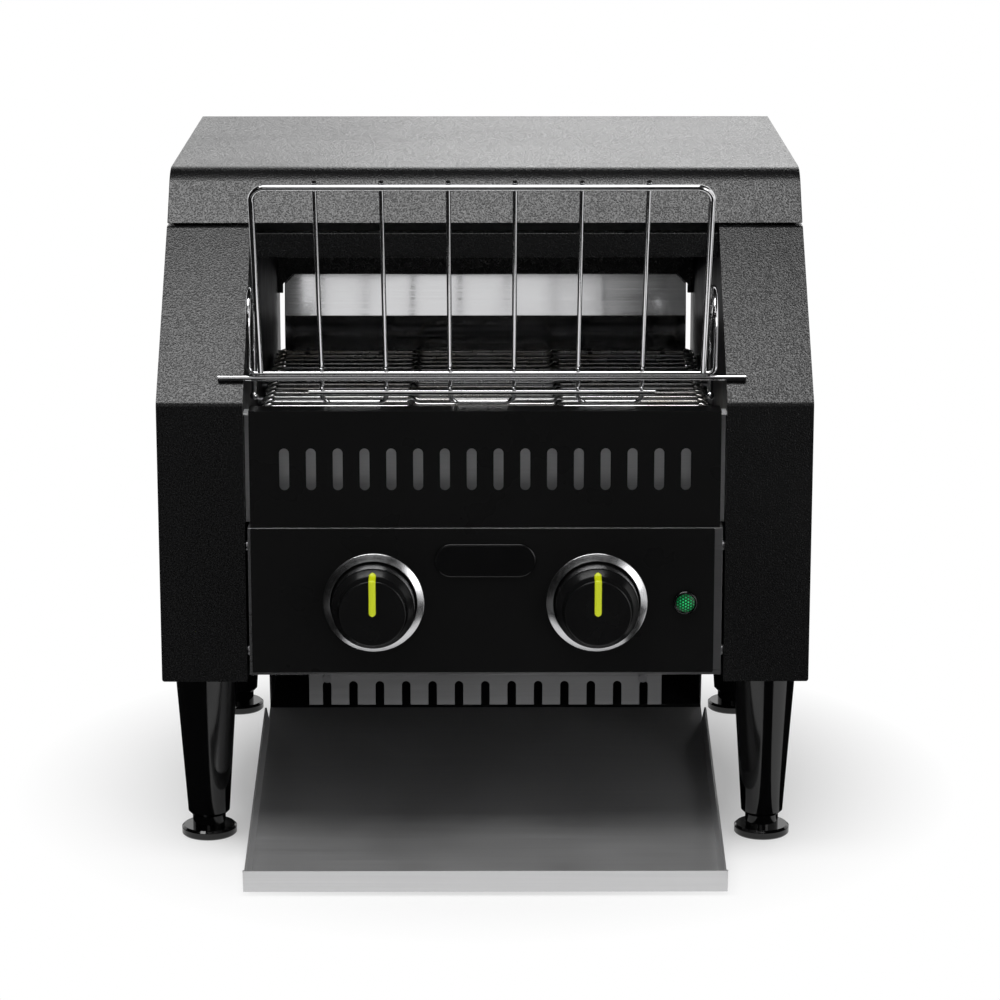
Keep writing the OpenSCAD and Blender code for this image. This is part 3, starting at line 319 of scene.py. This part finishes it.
finishes = {name: makeMaterial(name, build) for name, build in {
    "powderCoat": coat,
    "panelBlack": panelBlack,
    "sheetSteel": brushed(0, (0.56, 0.56, 0.57), 0.30),
    "traySteel": brushed(0, (0.66, 0.66, 0.665), 0.46, metal=0.93),
    "mirrorSteel": brushed(0, (0.66, 0.66, 0.67), 0.085, 0.000002),
    "zincSheet": brushed(0, (0.80, 0.80, 0.81), 0.42, metal=0.4),
    "combSteel": brushed(0, (0.31, 0.31, 0.315), 0.42),
    # painted shade: a near-black steel tone for the chute and lower reflector, standing in for the shade
    # under the body
    "paintedShadeSteel": brushed(1, (0.10, 0.10, 0.103), 0.38),
    "wallBlack": moulded((0.012, 0.012, 0.0125), 0.45, 700, 0.00003, 0.12),
    "chromePlate": chrome,
    "beltWire": beltWire,
    "machinedSteel": machined,
    "ringSteel": ringSteel,
    "badgeGloss": moulded((0.0040, 0.0040, 0.0042), 0.2, 300, 0.000003, 0.3),
    "legPlastic": moulded((0.0018, 0.0018, 0.002), 0.10, 900, 0.000004),
    "knobPlastic": moulded((0.0052, 0.0052, 0.0054), 0.24, 1400, 0.00001, 0.3),
    "pointerPlastic": moulded((0.66, 0.74, 0.004), 0.42, 900, 0.00001),
    "housingGrey": moulded((0.16, 0.17, 0.18), 0.45, 700, 0.00003),
    "tagPlastic": moulded((0.20, 0.24, 0.18), 0.5, 700, 0.00003),
    "ceramicWhite": moulded((0.78, 0.75, 0.68), 0.5, 600, 0.00004),
    "quartzTube": quartz,
    "lensGreen": lensGreen}.items()}

nodeFinish = {
    "powderCoat": ["left_base", "right_base", "left_side_cover", "right_side_cover", "top_cover",
                   "header_panel", "rear_cover", "rear_baffle"],
    "panelBlack": ["vent_panel", "control_panel"],
    "sheetSteel": ["control_fascia", "upper_reflector"],
    # painted shade: the chute and lower reflector take the near-black steel that stands in for the shade
    # under the body
    "paintedShadeSteel": ["return_chute", "lower_reflector"],
    "combSteel": ["comb_guard"],
    "traySteel": ["tray"],
    "mirrorSteel": ["rear_deflector"],
    "zincSheet": ["front_shield"],
    "wallBlack": ["left_inner_wall", "right_inner_wall"],
    "chromePlate": ["rack_frame", "rack_bars", "rack_wires", "rack_hoops"],
    "beltWire": ["conveyor_belt"],
    "machinedSteel": ["panel_screws", "speed_shaft", "heat_shaft", "belt_rods", "shaft_bearings",
                      "drive_shaft", "drive_sprockets", "idler_shaft", "idler_sprockets", "motor_sprocket",
                      "driven_sprocket", "roller_chain"],
    "ringSteel": ["knob_bezels"],
    "legPlastic": ["legs", "front_left_foot", "front_right_foot", "rear_left_foot", "rear_right_foot",
                   "lamp_bezel"],
    "knobPlastic": ["speed_knob", "heat_knob", "fan_frame", "fan_rotor", "mains_gland"],
    "pointerPlastic": ["speed_pointer", "heat_pointer"],
    "housingGrey": ["gear_motor"],
    "tagPlastic": ["speed_control"],
    "ceramicWhite": ["heat_switch", "tube_holders", "terminal_block"],
    "quartzTube": ["upper_tubes", "lower_tubes"],
    "lensGreen": ["lamp_lens"]}

for finish, names in nodeFinish.items():
    for name in names:
        slots = frame["nodes"][name].data.materials
        slots.clear()
        slots.append(finishes[finish])
print("finishes on the frame:", sum(map(len, nodeFinish.values())))


def smoothFaces(mesh):
    mesh.polygons.foreach_set("use_smooth", np.ones(len(mesh.polygons), bool))


def piece(name, body, finish, points, faces, stands=()):
    # a smooth mesh of points in millimetres, on its body and in place of the nodes that it stands for
    points = np.asarray(points, float).reshape(-1, 3) * mm + (0, frontY, 0)
    mesh = bpy.data.meshes.new(name)
    mesh.from_pydata(points.tolist(), [], [list(map(int, f)) for f in faces])
    smoothFaces(mesh)
    mesh.materials.append(finishes[finish])
    made = linked(bpy.data.objects.new(name, mesh))
    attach(made, body)
    if stands:
        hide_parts(*stands)
    return made


def gridFaces(rows, cols, closeRows=False, closeCols=False):
    # quads between neighbouring rows and columns of a grid of points
    i = np.arange(rows if closeRows else rows - 1)[:, None]
    j = np.arange(cols if closeCols else cols - 1)[None, :]
    i2, j2 = (i + 1) % rows, (j + 1) % cols
    return np.stack([i * cols + j, i2 * cols + j, i2 * cols + j2, i * cols + j2], -1).reshape(-1, 4)


def around(sides):
    return np.linspace(0, 2 * np.pi, sides, endpoint=False)


def lengthOf(vectors):
    return np.linalg.norm(vectors, axis=-1, keepdims=True)


def cleaned(mesh, distance=1e-7, flat=0.0):
    # points nearer than distance become one, faces within flat degrees are joined, and all face outwards
    work = bmesh.new()
    work.from_mesh(mesh)
    bmesh.ops.remove_doubles(work, verts=work.verts, dist=distance)
    if flat:
        bmesh.ops.dissolve_limit(work, angle_limit=math.radians(flat), verts=work.verts, edges=work.edges)
    bmesh.ops.recalc_face_normals(work, faces=work.faces)
    work.to_mesh(mesh)
    work.free()


def edgesSharp(mesh, angle):
    mesh.set_sharp_from_angle(angle=math.radians(angle))


crisp = {"turned": 40, "lens": 50, "badge": 60}       # edges sharper than this stay crisp, in degrees


def rounded(corners, cut, count):
    # each inner corner b becomes the curve (1 - t)^2 start + 2 t (1 - t) b + t^2 end, whose ends lie on the
    # sides of the corner, cut away from it, or half a side where that is less
    a, b, c = corners[:-2], corners[1:-1], corners[2:]
    t = np.linspace(0, 1, count)[:, None, None]
    start, end = [b + (p - b) * np.minimum(0.5, cut / lengthOf(p - b)) for p in (a, c)]
    curve = (1 - t) ** 2 * start + 2 * t * (1 - t) * b + t ** 2 * end
    curve = curve.transpose(1, 0, 2).reshape(-1, corners.shape[-1])
    return np.concatenate([corners[:1], curve, corners[-1:]])


# the wire belt: a pitch is the space between two wires, and run the pitches between the two shafts; at each
# joint a wire steps back by a share of the pitch, over stepHalf to either side, and rises over its neighbour
beltSizes = {"pitch": 12.7, "run": 17, "teeth": 8, "wire": 1.05, "top": 250.0, "frontShaft": 44.0,
             "width": 264.0, "hook": 5.0, "joint": 42.5, "step": 0.55, "stepHalf": 2.6, "stepTurn": 0.9,
             "stepLead": 0.12, "stepRise": 0.9, "bend": 1.6, "sides": 8, "points": 9}


def beltLoop(b, x, s, lift):
    # a point s pitches along the belt and the way out of the belt there: straight on top, half a turn round
    # the rear shaft, back below, half a turn round the front shaft
    r = b["pitch"] / (2 * math.sin(math.pi / b["teeth"]))
    half, run = b["teeth"] / 2, b["run"]
    s = np.mod(s, 2 * run + 2 * half)
    turn = (np.clip(s - run, 0, half) + np.clip(s - 2 * run - half, 0, half)) * np.pi / half
    middle = np.clip(s, 0, run) - np.clip(s - run - half, 0, run)
    y = b["frontShaft"] + middle * b["pitch"] + (r + lift) * np.sin(turn)
    z = b["top"] - b["wire"] - r + (r + lift) * np.cos(turn)
    return np.stack([x + 0 * y, y, z], -1), np.stack([0 * y, np.sin(turn), np.cos(turn)], -1)


def strandShape(b):
    # corners (x, pitches along, lift) of one wire from its end to its middle, then mirrored: hooked end,
    # outer space, step, half of the middle space
    edge, hook, joint, step = b["width"] / 2 - b["wire"], b["hook"], b["joint"], b["step"]
    end, turn, lead, rise = b["stepHalf"], b["stepTurn"], b["stepLead"], b["stepRise"]
    half = np.array([(edge - hook - 1.2, 1.02, 1.3), (edge - hook + 1.5, 0.98, 1.1), (edge - 0.9, 0.78, 0.3),
                     (edge, 0.45, 0), (edge - 0.6, 0.16, 0), (edge - hook, 0, 0), (joint + end, 0, 0),
                     (joint + turn, -lead, rise), (joint - turn, lead - step, rise), (joint - end, -step, 0)])
    return np.concatenate([half, half[::-1] * (-1, 1, 1)])


def makeBelt(b):
    # rings round each wire's path: point + wire * (cos a * side + sin a * up), where side = along x way out
    # and up = side x along
    inMm = np.array([1, b["pitch"], 1])
    line = rounded(strandShape(b) * inMm, b["bend"], b["points"]) / inMm
    strands = np.arange(2 * b["run"] + b["teeth"])[:, None]
    path, out = beltLoop(b, line[None, :, 0], strands + line[None, :, 1], line[None, :, 2])
    along = np.gradient(path, axis=-2)
    along /= lengthOf(along)
    side = np.cross(along, out)
    side /= lengthOf(side)
    up = np.cross(side, along)
    a = around(b["sides"])[:, None]
    rings = path[..., None, :] + b["wire"] * (np.cos(a) * side[..., None, :] + np.sin(a) * up[..., None, :])
    count, length, sides = rings.shape[:3]
    quads = gridFaces(length, sides, closeCols=True)[:, ::-1]
    ends = np.stack([np.arange(sides), (length - 1) * sides + np.arange(sides)[::-1]])
    starts = np.arange(count) * length * sides
    faces = [(quads + start).tolist() + (ends + start).tolist() for start in starts]
    piece("wireBelt", "chassis", "beltWire", rings, sum(faces, []), ["conveyor_belt"])
    print("belt:", count, "wires")


makeBelt(beltSizes)


def turned(name, body, finish, profile, x, stands, sides=144, loop=False):
    # (radius, distance in front of the panel) points turned about a line along Y: x = r sin a, z = r cos a
    a = around(sides)[None, :]
    r, d = profile[:, :1], profile[:, 1:]
    points = np.stack([x + r * np.sin(a), controls["panel"] - d + 0 * a, controls["z"] + r * np.cos(a)], -1)
    faces = gridFaces(len(profile), sides, closeRows=loop, closeCols=True)
    made = piece(name, body, finish, points, faces, stands)
    cleaned(made.data)
    edgesSharp(made.data, crisp["turned"])


# a knob: radii of its skirt and face, and distances of its back, shoulder and front from the panel
knobSizes = {"skirt": 23.5, "face": 18.8, "back": 1.5, "shoulder": 14.0, "front": 25.0, "edge": 0.9,
             "points": 7, "ease": 0.2, "heel": 2.0, "waist": 0.45, "waistRise": 3.0, "flare": 0.8,
             "flareRise": 4.6}


def knobProfile(k):
    # skirt, shoulder, short cone and front face of a knob, from the back to the middle of the face
    eased, waist = k["skirt"] - k["ease"], k["face"] + (k["skirt"] - k["face"]) * k["waist"]
    corners = [(eased, k["back"]), (k["skirt"], k["back"] + k["heel"]), (eased, k["shoulder"]),
               (waist, k["shoulder"] + k["waistRise"]),
               (k["face"] + k["flare"], k["shoulder"] + k["flareRise"]), (k["face"], k["front"]),
               (0.0, k["front"])]
    return rounded(np.array(corners), k["edge"], k["points"])


def makeKnob(k, side, body, names):
    profile = np.concatenate([[(0.0, k["back"])], knobProfile(k)])
    turned(names[0], body, "knobPlastic", profile, side * controls["x"], [names[1]])


# a pointer: it runs from past the middle of the face to the radius top, no lower than foot under the shoulder
pointerSizes = {"width": 4.0, "rise": 0.55, "sunk": 0.3, "top": 22.2, "foot": 1.0, "past": 1.5, "along": 90,
                "across": 12, "roundest": 0.999}


def makePointer(p, k, side, body, names):
    # a raised strip that follows the knob's profile; half width = w sqrt(1 - e^2) near its rounded ends,
    # height = rise (1 - u^4) across it, and its underside lies just inside the knob
    line = np.concatenate([knobProfile(k)[:-1], [(-p["past"], k["front"])]])
    line = line[(line[:, 0] < p["top"]) & (line[:, 1] > k["shoulder"] - p["foot"])]
    gaps = np.concatenate([[0], np.cumsum(np.linalg.norm(np.diff(line, axis=0), axis=1))])
    s = np.linspace(0, gaps[-1], p["along"])
    r, d = np.interp(s, gaps, line[:, 0]), np.interp(s, gaps, line[:, 1])
    along = np.stack([np.gradient(r), np.gradient(d)], -1)
    along /= lengthOf(along)
    out = np.stack([along[:, 1], -along[:, 0]], -1)
    half = p["width"] / 2
    e = np.clip((np.abs(s - gaps[-1] / 2) - gaps[-1] / 2 + half) / half, 0, p["roundest"])
    w = half * np.sqrt(1 - e ** 2)
    u = np.linspace(-1, 1, p["across"])
    upper, lower = p["rise"] * (1 - u ** 4), np.full(p["across"], -p["sunk"])
    u, h = np.concatenate([u, u[::-1]])[None, :], np.concatenate([upper, lower])[None, :]
    x = side * controls["x"] + w[:, None] * u
    radius, front = r[:, None] + h * out[:, :1], d[:, None] + h * out[:, 1:]
    points = np.stack([x, controls["panel"] - front, controls["z"] + radius], -1)
    count = points.shape[1]
    faces = gridFaces(p["along"], count, closeCols=True).tolist()
    faces += [list(range(count))[::-1], [(p["along"] - 1) * count + j for j in range(count)]]
    made = piece(names[0], body, "pointerPlastic", points, faces, [names[1]])
    cleaned(made.data)


for side, body, name in ((-1, "speed_dial", "speed"), (1, "heat_dial", "heat")):
    makeKnob(knobSizes, side, body, (name + "Knob", name + "_knob"))
    makePointer(pointerSizes, knobSizes, side, body, (name + "Pointer", name + "_pointer"))

# the ring round each knob: (radius, height) of its crest and of the end of its slope
ringSizes = {"bore": 24.3, "wall": 2.2, "crest": (24.75, 2.6), "slopeEnd": (28.6, 0.95), "outer": 28.8,
             "rim": 0.5, "edge": 0.25, "points": 5, "sides": 180}


def makeRing(r, side, name, stands):
    corners = [(r["bore"], 0.0), (r["bore"], r["wall"]), r["crest"], r["slopeEnd"], (r["outer"], r["rim"]),
               (r["outer"], 0.0), (r["bore"], 0.0)]
    profile = rounded(np.array(corners), r["edge"], r["points"])[:-1]
    turned(name, "chassis", "ringSteel", profile, side * controls["x"], stands, r["sides"],
           loop=True)


makeRing(ringSizes, -1, "speedRing", ["knob_bezels"])
makeRing(ringSizes, 1, "heatRing", [])

# the lamp's socket: a stem through the panel, a flange on it, and a bore with a seat for the lens
socketSizes = {"stem": 5.5, "back": -26.0, "flange": 6.9, "side": 1.5, "lip": (6.3, 2.3),
               "mouth": (5.6, 2.35), "bore": 5.35, "boreTop": 1.9, "seat": -3.9, "edge": 0.4, "points": 5,
               "sides": 96}


def makeSocket(s):
    corners = [(0.0, s["back"]), (s["stem"], s["back"]), (s["stem"], 0.0), (s["flange"], 0.0),
               (s["flange"], s["side"]), s["lip"], s["mouth"], (s["bore"], s["boreTop"]),
               (s["bore"], s["seat"]), (0.0, s["seat"])]
    profile = rounded(np.array(corners), s["edge"], s["points"])
    turned("lampBezel", "chassis", "legPlastic", profile, controls["lampX"], ["lamp_bezel"],
           s["sides"])


def makeLens(s):
    # shallow dome: distance = crown - fall (r / radius)^2 + rise waves (1 - (r / radius)^6), with beads where
    # waves, the mean of the cosines along the three ways, is high
    r, a = np.linspace(0, s["radius"], s["rings"])[:, None], around(s["sides"])[None, :]
    x, z = r * np.sin(a), r * np.cos(a)
    k = 2 * np.pi / s["bead"]
    waves = sum(np.cos(k * (x * math.cos(t) + z * math.sin(t))) for t in beadWays) / 3
    share = r / s["radius"]
    d = s["crown"] - s["fall"] * share ** 2 + s["rise"] * waves * (1 - share ** 6)
    rows = [np.stack([x, d, z], -1)]
    rows += [np.stack([x[-1:], 0 * x[-1:] + depth, z[-1:]], -1) for depth in (s["rim"], s["base"])]
    rows += [np.stack([0 * x[:1], 0 * x[:1] + s["base"], 0 * x[:1]], -1)]
    points = np.concatenate(rows) * (1, -1, 1) + (controls["lampX"], controls["panel"], controls["z"])
    faces = gridFaces(len(points), s["sides"], closeCols=True)
    made = piece("lampLens", "chassis", "lensGreen", points, faces, ["lamp_lens"])
    cleaned(made.data)
    edgesSharp(made.data, crisp["lens"])


makeSocket(socketSizes)
makeLens(lensSizes)

# the blank plate above the knobs; steps are the (inset, height) of the rings of its rounded edge
badge = {"width": 57.5, "height": 19.4, "x": 0.0, "z": 180.2, "sides": 128,
         "steps": ((0, 0), (0, 0.8), (0.3, 1.2), (0.9, 1.4), (2.0, 1.4))}


def makeBadge(b):
    # plate with round ends: x = half the straight side + (half height - inset) sin a, and
    # z = (half height - inset) cos a
    half = b["height"] / 2
    a = around(b["sides"])
    sideways = np.sign(np.sin(a)) * (b["width"] / 2 - half)
    rings = [np.stack([b["x"] + 0 * a, 0 * a + controls["panel"], b["z"] + 0 * a], -1)]
    rings += [np.stack([b["x"] + sideways + (half - inset) * np.sin(a), 0 * a + controls["panel"] - rise,
                        b["z"] + (half - inset) * np.cos(a)], -1) for inset, rise in b["steps"]]
    cap = (len(rings) - 1) * len(a) + np.arange(len(a))
    faces = gridFaces(len(rings), len(a), closeCols=True).tolist() + [cap.tolist()]
    made = piece("badgePlate", "chassis", "badgeGloss", np.stack(rings), faces)
    cleaned(made.data)
    edgesSharp(made.data, crisp["badge"])


makeBadge(badge)
print("controls made")

# the sheet pieces and housings whose edges are rolled, by the roll's width in millimetres
softEdges = {0.5: ["left_side_cover", "right_side_cover", "rear_cover"],
             0.35: ["header_panel", "vent_panel", "control_fascia", "tray", "rear_deflector", "return_chute",
                    "rear_baffle", "comb_guard"],
             0.25: ["control_panel"],
             0.6: ["gear_motor", "fan_frame", "terminal_block", "heat_switch", "mains_gland"]}
rolling = {"steps": 2, "sharpest": 30, "weight": 100, "near": 0.01}
cadMesh = {"merge": 2e-6, "flat": 0.5}                # what tidies a copy of a solid's mesh
crispBends = {"rear_deflector": 6}                    # solids whose shallow bends stay crisp, in degrees

bodyOf = {node: body for body, names in frame["record"]["behaviour"]["bodies"].items() for node in names}


def softenEdges(made, width):
    # a rolled edge, with the flat faces kept flat in their shading
    bevel = made.modifiers.new("edges", "BEVEL")
    bevel.width, bevel.segments = width * mm, rolling["steps"]
    bevel.limit_method, bevel.angle_limit = "ANGLE", math.radians(rolling["sharpest"])
    shading = made.modifiers.new("flatFaces", "WEIGHTED_NORMAL")
    shading.mode, shading.keep_sharp = "FACE_AREA", True
    shading.weight, shading.thresh = rolling["weight"], rolling["near"]


def softened(node, width):
    # the solid's own shape with its sharp edges rounded a little
    mesh = frame["nodes"][node].data.copy()
    mesh.name = node.replace("_", " ").title().replace(" ", "")
    cleaned(mesh, cadMesh["merge"], cadMesh["flat"])
    smoothFaces(mesh)
    if node in crispBends:
        edgesSharp(mesh, crispBends[node])
    made = linked(bpy.data.objects.new("soft" + mesh.name, mesh))
    softenEdges(made, width)
    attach(made, bodyOf[node])
    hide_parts(node)


for width, names in softEdges.items():
    for node in names:
        softened(node, width)

# the lid: its front slope from (frontLow, low) to (frontTop, top), and the two strips under its sides
lid = {"halfWidth": 184.0, "low": 357.4, "frontLow": 94.4, "top": 386.0, "frontTop": 119.0, "back": 361.0,
       "bend": 21.0, "bendPoints": 14, "rearBend": 4.0, "rearPoints": 8, "sheet": 1.2, "edge": 0.5,
       "stripX": (172.0, 181.0), "stripAhead": 14.0, "stripBack": 349.0, "stripLow": 355.0, "stripLap": 2.0}


def arcCorner(before, corner, after, radius, count):
    # points of the arc of this radius that touches both sides of a corner
    u, w = [(p - corner) / lengthOf(p - corner) for p in (before, after)]
    half = math.acos(np.clip(u @ w, -1, 1)) / 2
    middle = corner + (u + w) / lengthOf(u + w) * radius / math.sin(half)
    start, end = corner + u * radius / math.tan(half), corner + w * radius / math.tan(half)
    share = np.linspace(0, 1, count)[:, None]
    spokes = (1 - share) * (start - middle) + share * (end - middle)
    return middle + spokes / lengthOf(spokes) * radius


def lidProfile(s, inset):
    # (y, z) line over the lid from its front lower edge to its rear lower edge, moved inwards by inset
    slope = np.array([s["frontTop"] - s["frontLow"], s["top"] - s["low"]])
    out = np.array([-slope[1], slope[0]]) / lengthOf(slope)
    low = np.array([s["frontLow"], s["low"]]) - out * inset
    low = low + slope * (s["low"] - low[1]) / slope[1]
    top = low + slope * (s["top"] - inset - low[1]) / slope[1]
    back = np.array([s["back"] - inset, s["top"] - inset])
    rear = np.array([s["back"] - inset, s["low"]])
    return np.concatenate([[low], arcCorner(low, top, back, s["bend"] - inset, s["bendPoints"]),
                           arcCorner(top, back, rear, s["rearBend"] - inset, s["rearPoints"]), [rear]])


def between(a, b):
    # quads between two rows of point numbers
    return np.stack([a[:-1], a[1:], b[1:], b[:-1]], -1).tolist()


def makeLid(s):
    # two prisms one inside the other, the profile carried from side to side, joined along the lower rim
    rings = []
    for inset in (0.0, s["sheet"]):
        line = lidProfile(s, inset)
        for side in (-1, 1):
            x = np.full(len(line), side * (s["halfWidth"] - inset))
            rings.append(np.stack([x, line[:, 0], line[:, 1]], -1))
    count = len(rings[0])
    outerL, outerR, innerL, innerR = [np.arange(count) + k * count for k in range(len(rings))]
    faces = between(outerL, outerR) + between(innerR, innerL)
    faces += [outerL[::-1], outerR, innerL, innerR[::-1]]
    faces += [[a[0], b[0], b[-1], a[-1]] for a, b in ((outerL, innerL), (innerR, outerR))]
    faces += [[outerL[0], outerR[0], innerR[0], innerL[0]], [outerL[-1], innerL[-1], innerR[-1], outerR[-1]]]
    points = np.concatenate(rings)
    depths = (s["frontTop"] - s["stripAhead"], s["stripBack"])
    heights = (s["stripLow"], s["low"] + s["stripLap"])
    box = np.array([(0, 1, 3, 2), (4, 6, 7, 5), (0, 4, 5, 1), (2, 3, 7, 6), (0, 2, 6, 4), (1, 5, 7, 3)])
    for side in (-1, 1):
        faces += (box + len(points)).tolist()
        corners = [(side * x, y, z) for x in s["stripX"] for y in depths for z in heights]
        points = np.concatenate([points, corners])
    made = piece("topLid", "chassis", "powderCoat", points, faces, ["top_cover"])
    cleaned(made.data)
    softenEdges(made, s["edge"])


makeLid(lid)
print("sheet pieces made")

# the studio, in metres: the fill light, the floor's tone and glow, and where the shadow under the object ends
studio = {"fill": 0.34, "floorGlow": 0.26, "floorTone": 0.95, "shadowEnds": (0.15, 0.29), "floorHalf": 30}
white = (1, 1, 1, 1)


def seenDirectly(start):
    # 1 where the camera, a gloss or a glass looks, 0 for everything else
    sights = ("Is Camera Ray", "Is Glossy Ray", "Is Transmission Ray")
    byCamera, byGloss, byGlass = [start.node("ShaderNodeLightPath", out=sight) for sight in sights]
    return byCamera.larger(byGloss.larger(byGlass))


def stageMesh(name, corners, material):
    # one flat stage piece with its material
    mesh = bpy.data.meshes.new(name)
    mesh.from_pydata(corners, [], [tuple(range(len(corners)))])
    mesh.materials.append(material)
    return linked(bpy.data.objects.new(name, mesh))


def makeFloor(s):
    material = bpy.data.materials.new("paleFloor")
    start = emptyTree(material)
    spot = start.node("ShaderNodeTexCoord", out="Object").length()
    share = seenDirectly(start) * spot.spread(s["floorGlow"], 1.0, *s["shadowEnds"])
    pale = start.node("ShaderNodeBsdfDiffuse", None, {"Color": (s["floorTone"],) * 3 + (1,)})
    glow = start.node("ShaderNodeEmission", None, {"Color": white, "Strength": 1.0})
    mixed = start.node("ShaderNodeMixShader", None, {0: share, 1: pale, 2: glow})
    start.node("ShaderNodeOutputMaterial", None, {"Surface": mixed})
    half = s["floorHalf"]
    floor = stageMesh("floor", level(0, -half, half, -half, half), material)


def makeWorld(s):
    # white where it is seen, a plain fill for everything else
    world = bpy.data.worlds.new("studioWorld")
    bpy.context.scene.world = world
    start = emptyTree(world)
    light = seenDirectly(start) * (1 - s["fill"]) + s["fill"]
    back = start.node("ShaderNodeBackground", None, {"Color": white, "Strength": light})
    start.node("ShaderNodeOutputWorld", None, {"Surface": back})


lamps = {"topSoftbox": {"place": (-0.25, -0.49, 1.60), "target": (-0.25, -0.49, 0.0), "size": (1.30, 0.56),
                        "radiance": 6.8},
         "frontSoftbox": {"place": (-0.10, -1.40, 1.75), "target": (-0.10, -0.40, 0.0), "size": (1.20, 1.00),
                          "radiance": 0.7},
         "rearSoftbox": {"place": (0.50, 1.90, 1.25), "target": (0.0, 0.10, 0.25), "size": (1.40, 0.70),
                         "radiance": 2.0},
         "sideSoftbox": {"place": (1.05, -1.50, 0.42), "target": (0.0, -0.15, 0.15), "size": (0.45, 0.66),
                         "radiance": 4.2}}


def makeLamp(name, place, target, size, radiance):
    # a softbox that faces its target, turned only about Z where it doesn't hang straight above it
    data = bpy.data.lights.new(name, "AREA")
    data.shape, data.size, data.size_y = "RECTANGLE", size[0], size[1]
    data.energy = radiance * math.pi * size[0] * size[1]
    lamp = linked(bpy.data.objects.new(name, data))
    lamp.location = place
    way = np.array(target, float) - np.array(place, float)
    turn = math.atan2(way[1], way[0]) - math.pi / 2 if way[0] or way[1] else 0.0
    lamp.rotation_euler = (math.acos(-way[2] / np.linalg.norm(way)), 0, turn)


def level(z, x0, x1, y0, y1):
    # corners of a rectangle that lies at height z
    return [(x0, y0, z), (x1, y0, z), (x1, y1, z), (x0, y1, z)]


def upright(y, x0, x1, z0, z1):
    # corners of a rectangle that stands across the room at y
    return [(x0, y, z0), (x1, y, z0), (x1, y, z1), (x0, y, z1)]


def cardMaterial(name, tone):
    material = bpy.data.materials.new(name)
    material.use_nodes = True
    sockets = material.node_tree.nodes["Principled BSDF"].inputs
    sockets["Base Color"].default_value = (tone, tone, tone, 1)
    sockets["Specular IOR Level"].default_value = 0.0
    return material


cardBlack, cardGrey = cardMaterial("cardBlack", 0.01), cardMaterial("cardGrey", 0.16)


def makeCard(name, corners, material=cardBlack):
    # a dark card that only reflections see, as a studio lays or hangs beside a glossy object
    card = stageMesh(name, corners, material)
    card.visible_camera = card.visible_diffuse = card.visible_shadow = card.visible_transmission = False


# the cards' own lines: the room's walls and ceiling, and the rows (Y) and columns (X) where flat cards meet;
# the window is the bright part of the far wall that the deflector shows
room = {"side": 2.2, "far": -3.0, "back": 0.6, "lift": 0.004, "wallTop": 2.1, "farTop": 3.2,
        "ceiling": (-3.5, 3.5, -1.9, 2.8)}
rows = {"near": -0.33, "grey": -0.45, "greyFar": -1.5, "right": -1.3, "leg": -0.105, "under": -0.10,
        "rear": 0.35}
columns = {"grey": -0.46, "front": (-0.20, 0.30), "near": 0.50, "right": 1.3, "leg": 0.146, "legEnd": 0.18,
           "under": 0.182, "rear": 1.0}
window = {"x": (-0.75, 0.18), "z": (0.60, 1.30)}
left, right, far, near, lift = -room["side"], room["side"], room["far"], rows["near"], room["lift"]
frontLeft, frontRight = columns["front"]

flatCards = {              # left, right, front and rear edge, and the card's material where it isn't black
    "frontCard": (frontLeft, frontRight, far, near),
    "frontFarCard": (left, frontLeft, far, rows["greyFar"]),
    "frontGreyCard": (columns["grey"], frontLeft, rows["greyFar"], rows["grey"], cardGrey),
    "frontLeftCard": (left, columns["grey"], rows["greyFar"], rows["grey"]),
    "nearLeftCard": (left, frontLeft, rows["grey"], near),
    "frontRightCard": (frontRight, right, far, rows["right"]),
    "rightCard": (columns["right"], right, rows["right"], rows["under"]),
    "nearRightCard": (frontRight, columns["near"], rows["right"], near),
    "underCard": (-columns["leg"], columns["under"], rows["under"], rows["rear"]),
    "leftCard": (left, -columns["leg"], near, room["back"]),
    "backCard": (columns["under"], columns["rear"], rows["under"], rows["rear"])}

farCards = {               # left, right, lower and upper edge
    "farLow": (left, right, 0.0, window["z"][0]),
    "farHigh": (left, right, window["z"][1], room["farTop"]),
    "farLeft": (left, window["x"][0], *window["z"]),
    "farRight": (window["x"][1], right, *window["z"], cardGrey)}

makeFloor(studio)
makeWorld(studio)
for name, lamp in lamps.items():
    makeLamp(name, **lamp)
for name, (x0, x1, y0, y1, *material) in flatCards.items():
    makeCard(name, level(lift, x0, x1, y0, y1), *material)
makeCard("legCard", [(columns["leg"], near, lift), (frontRight, near, lift),
                     (columns["legEnd"], rows["leg"], lift), (columns["leg"], rows["leg"], lift)])
makeCard("leftWall", [(left, far, 0.0), (left, room["back"], 0.0), (left, room["back"], room["wallTop"]),
                      (left, far, room["wallTop"])])
makeCard("ceilingCard", level(room["wallTop"], *room["ceiling"]))
for name, (x0, x1, z0, z1, *material) in farCards.items():
    makeCard(name, upright(far, x0, x1, z0, z1), *material)
print("stage set")
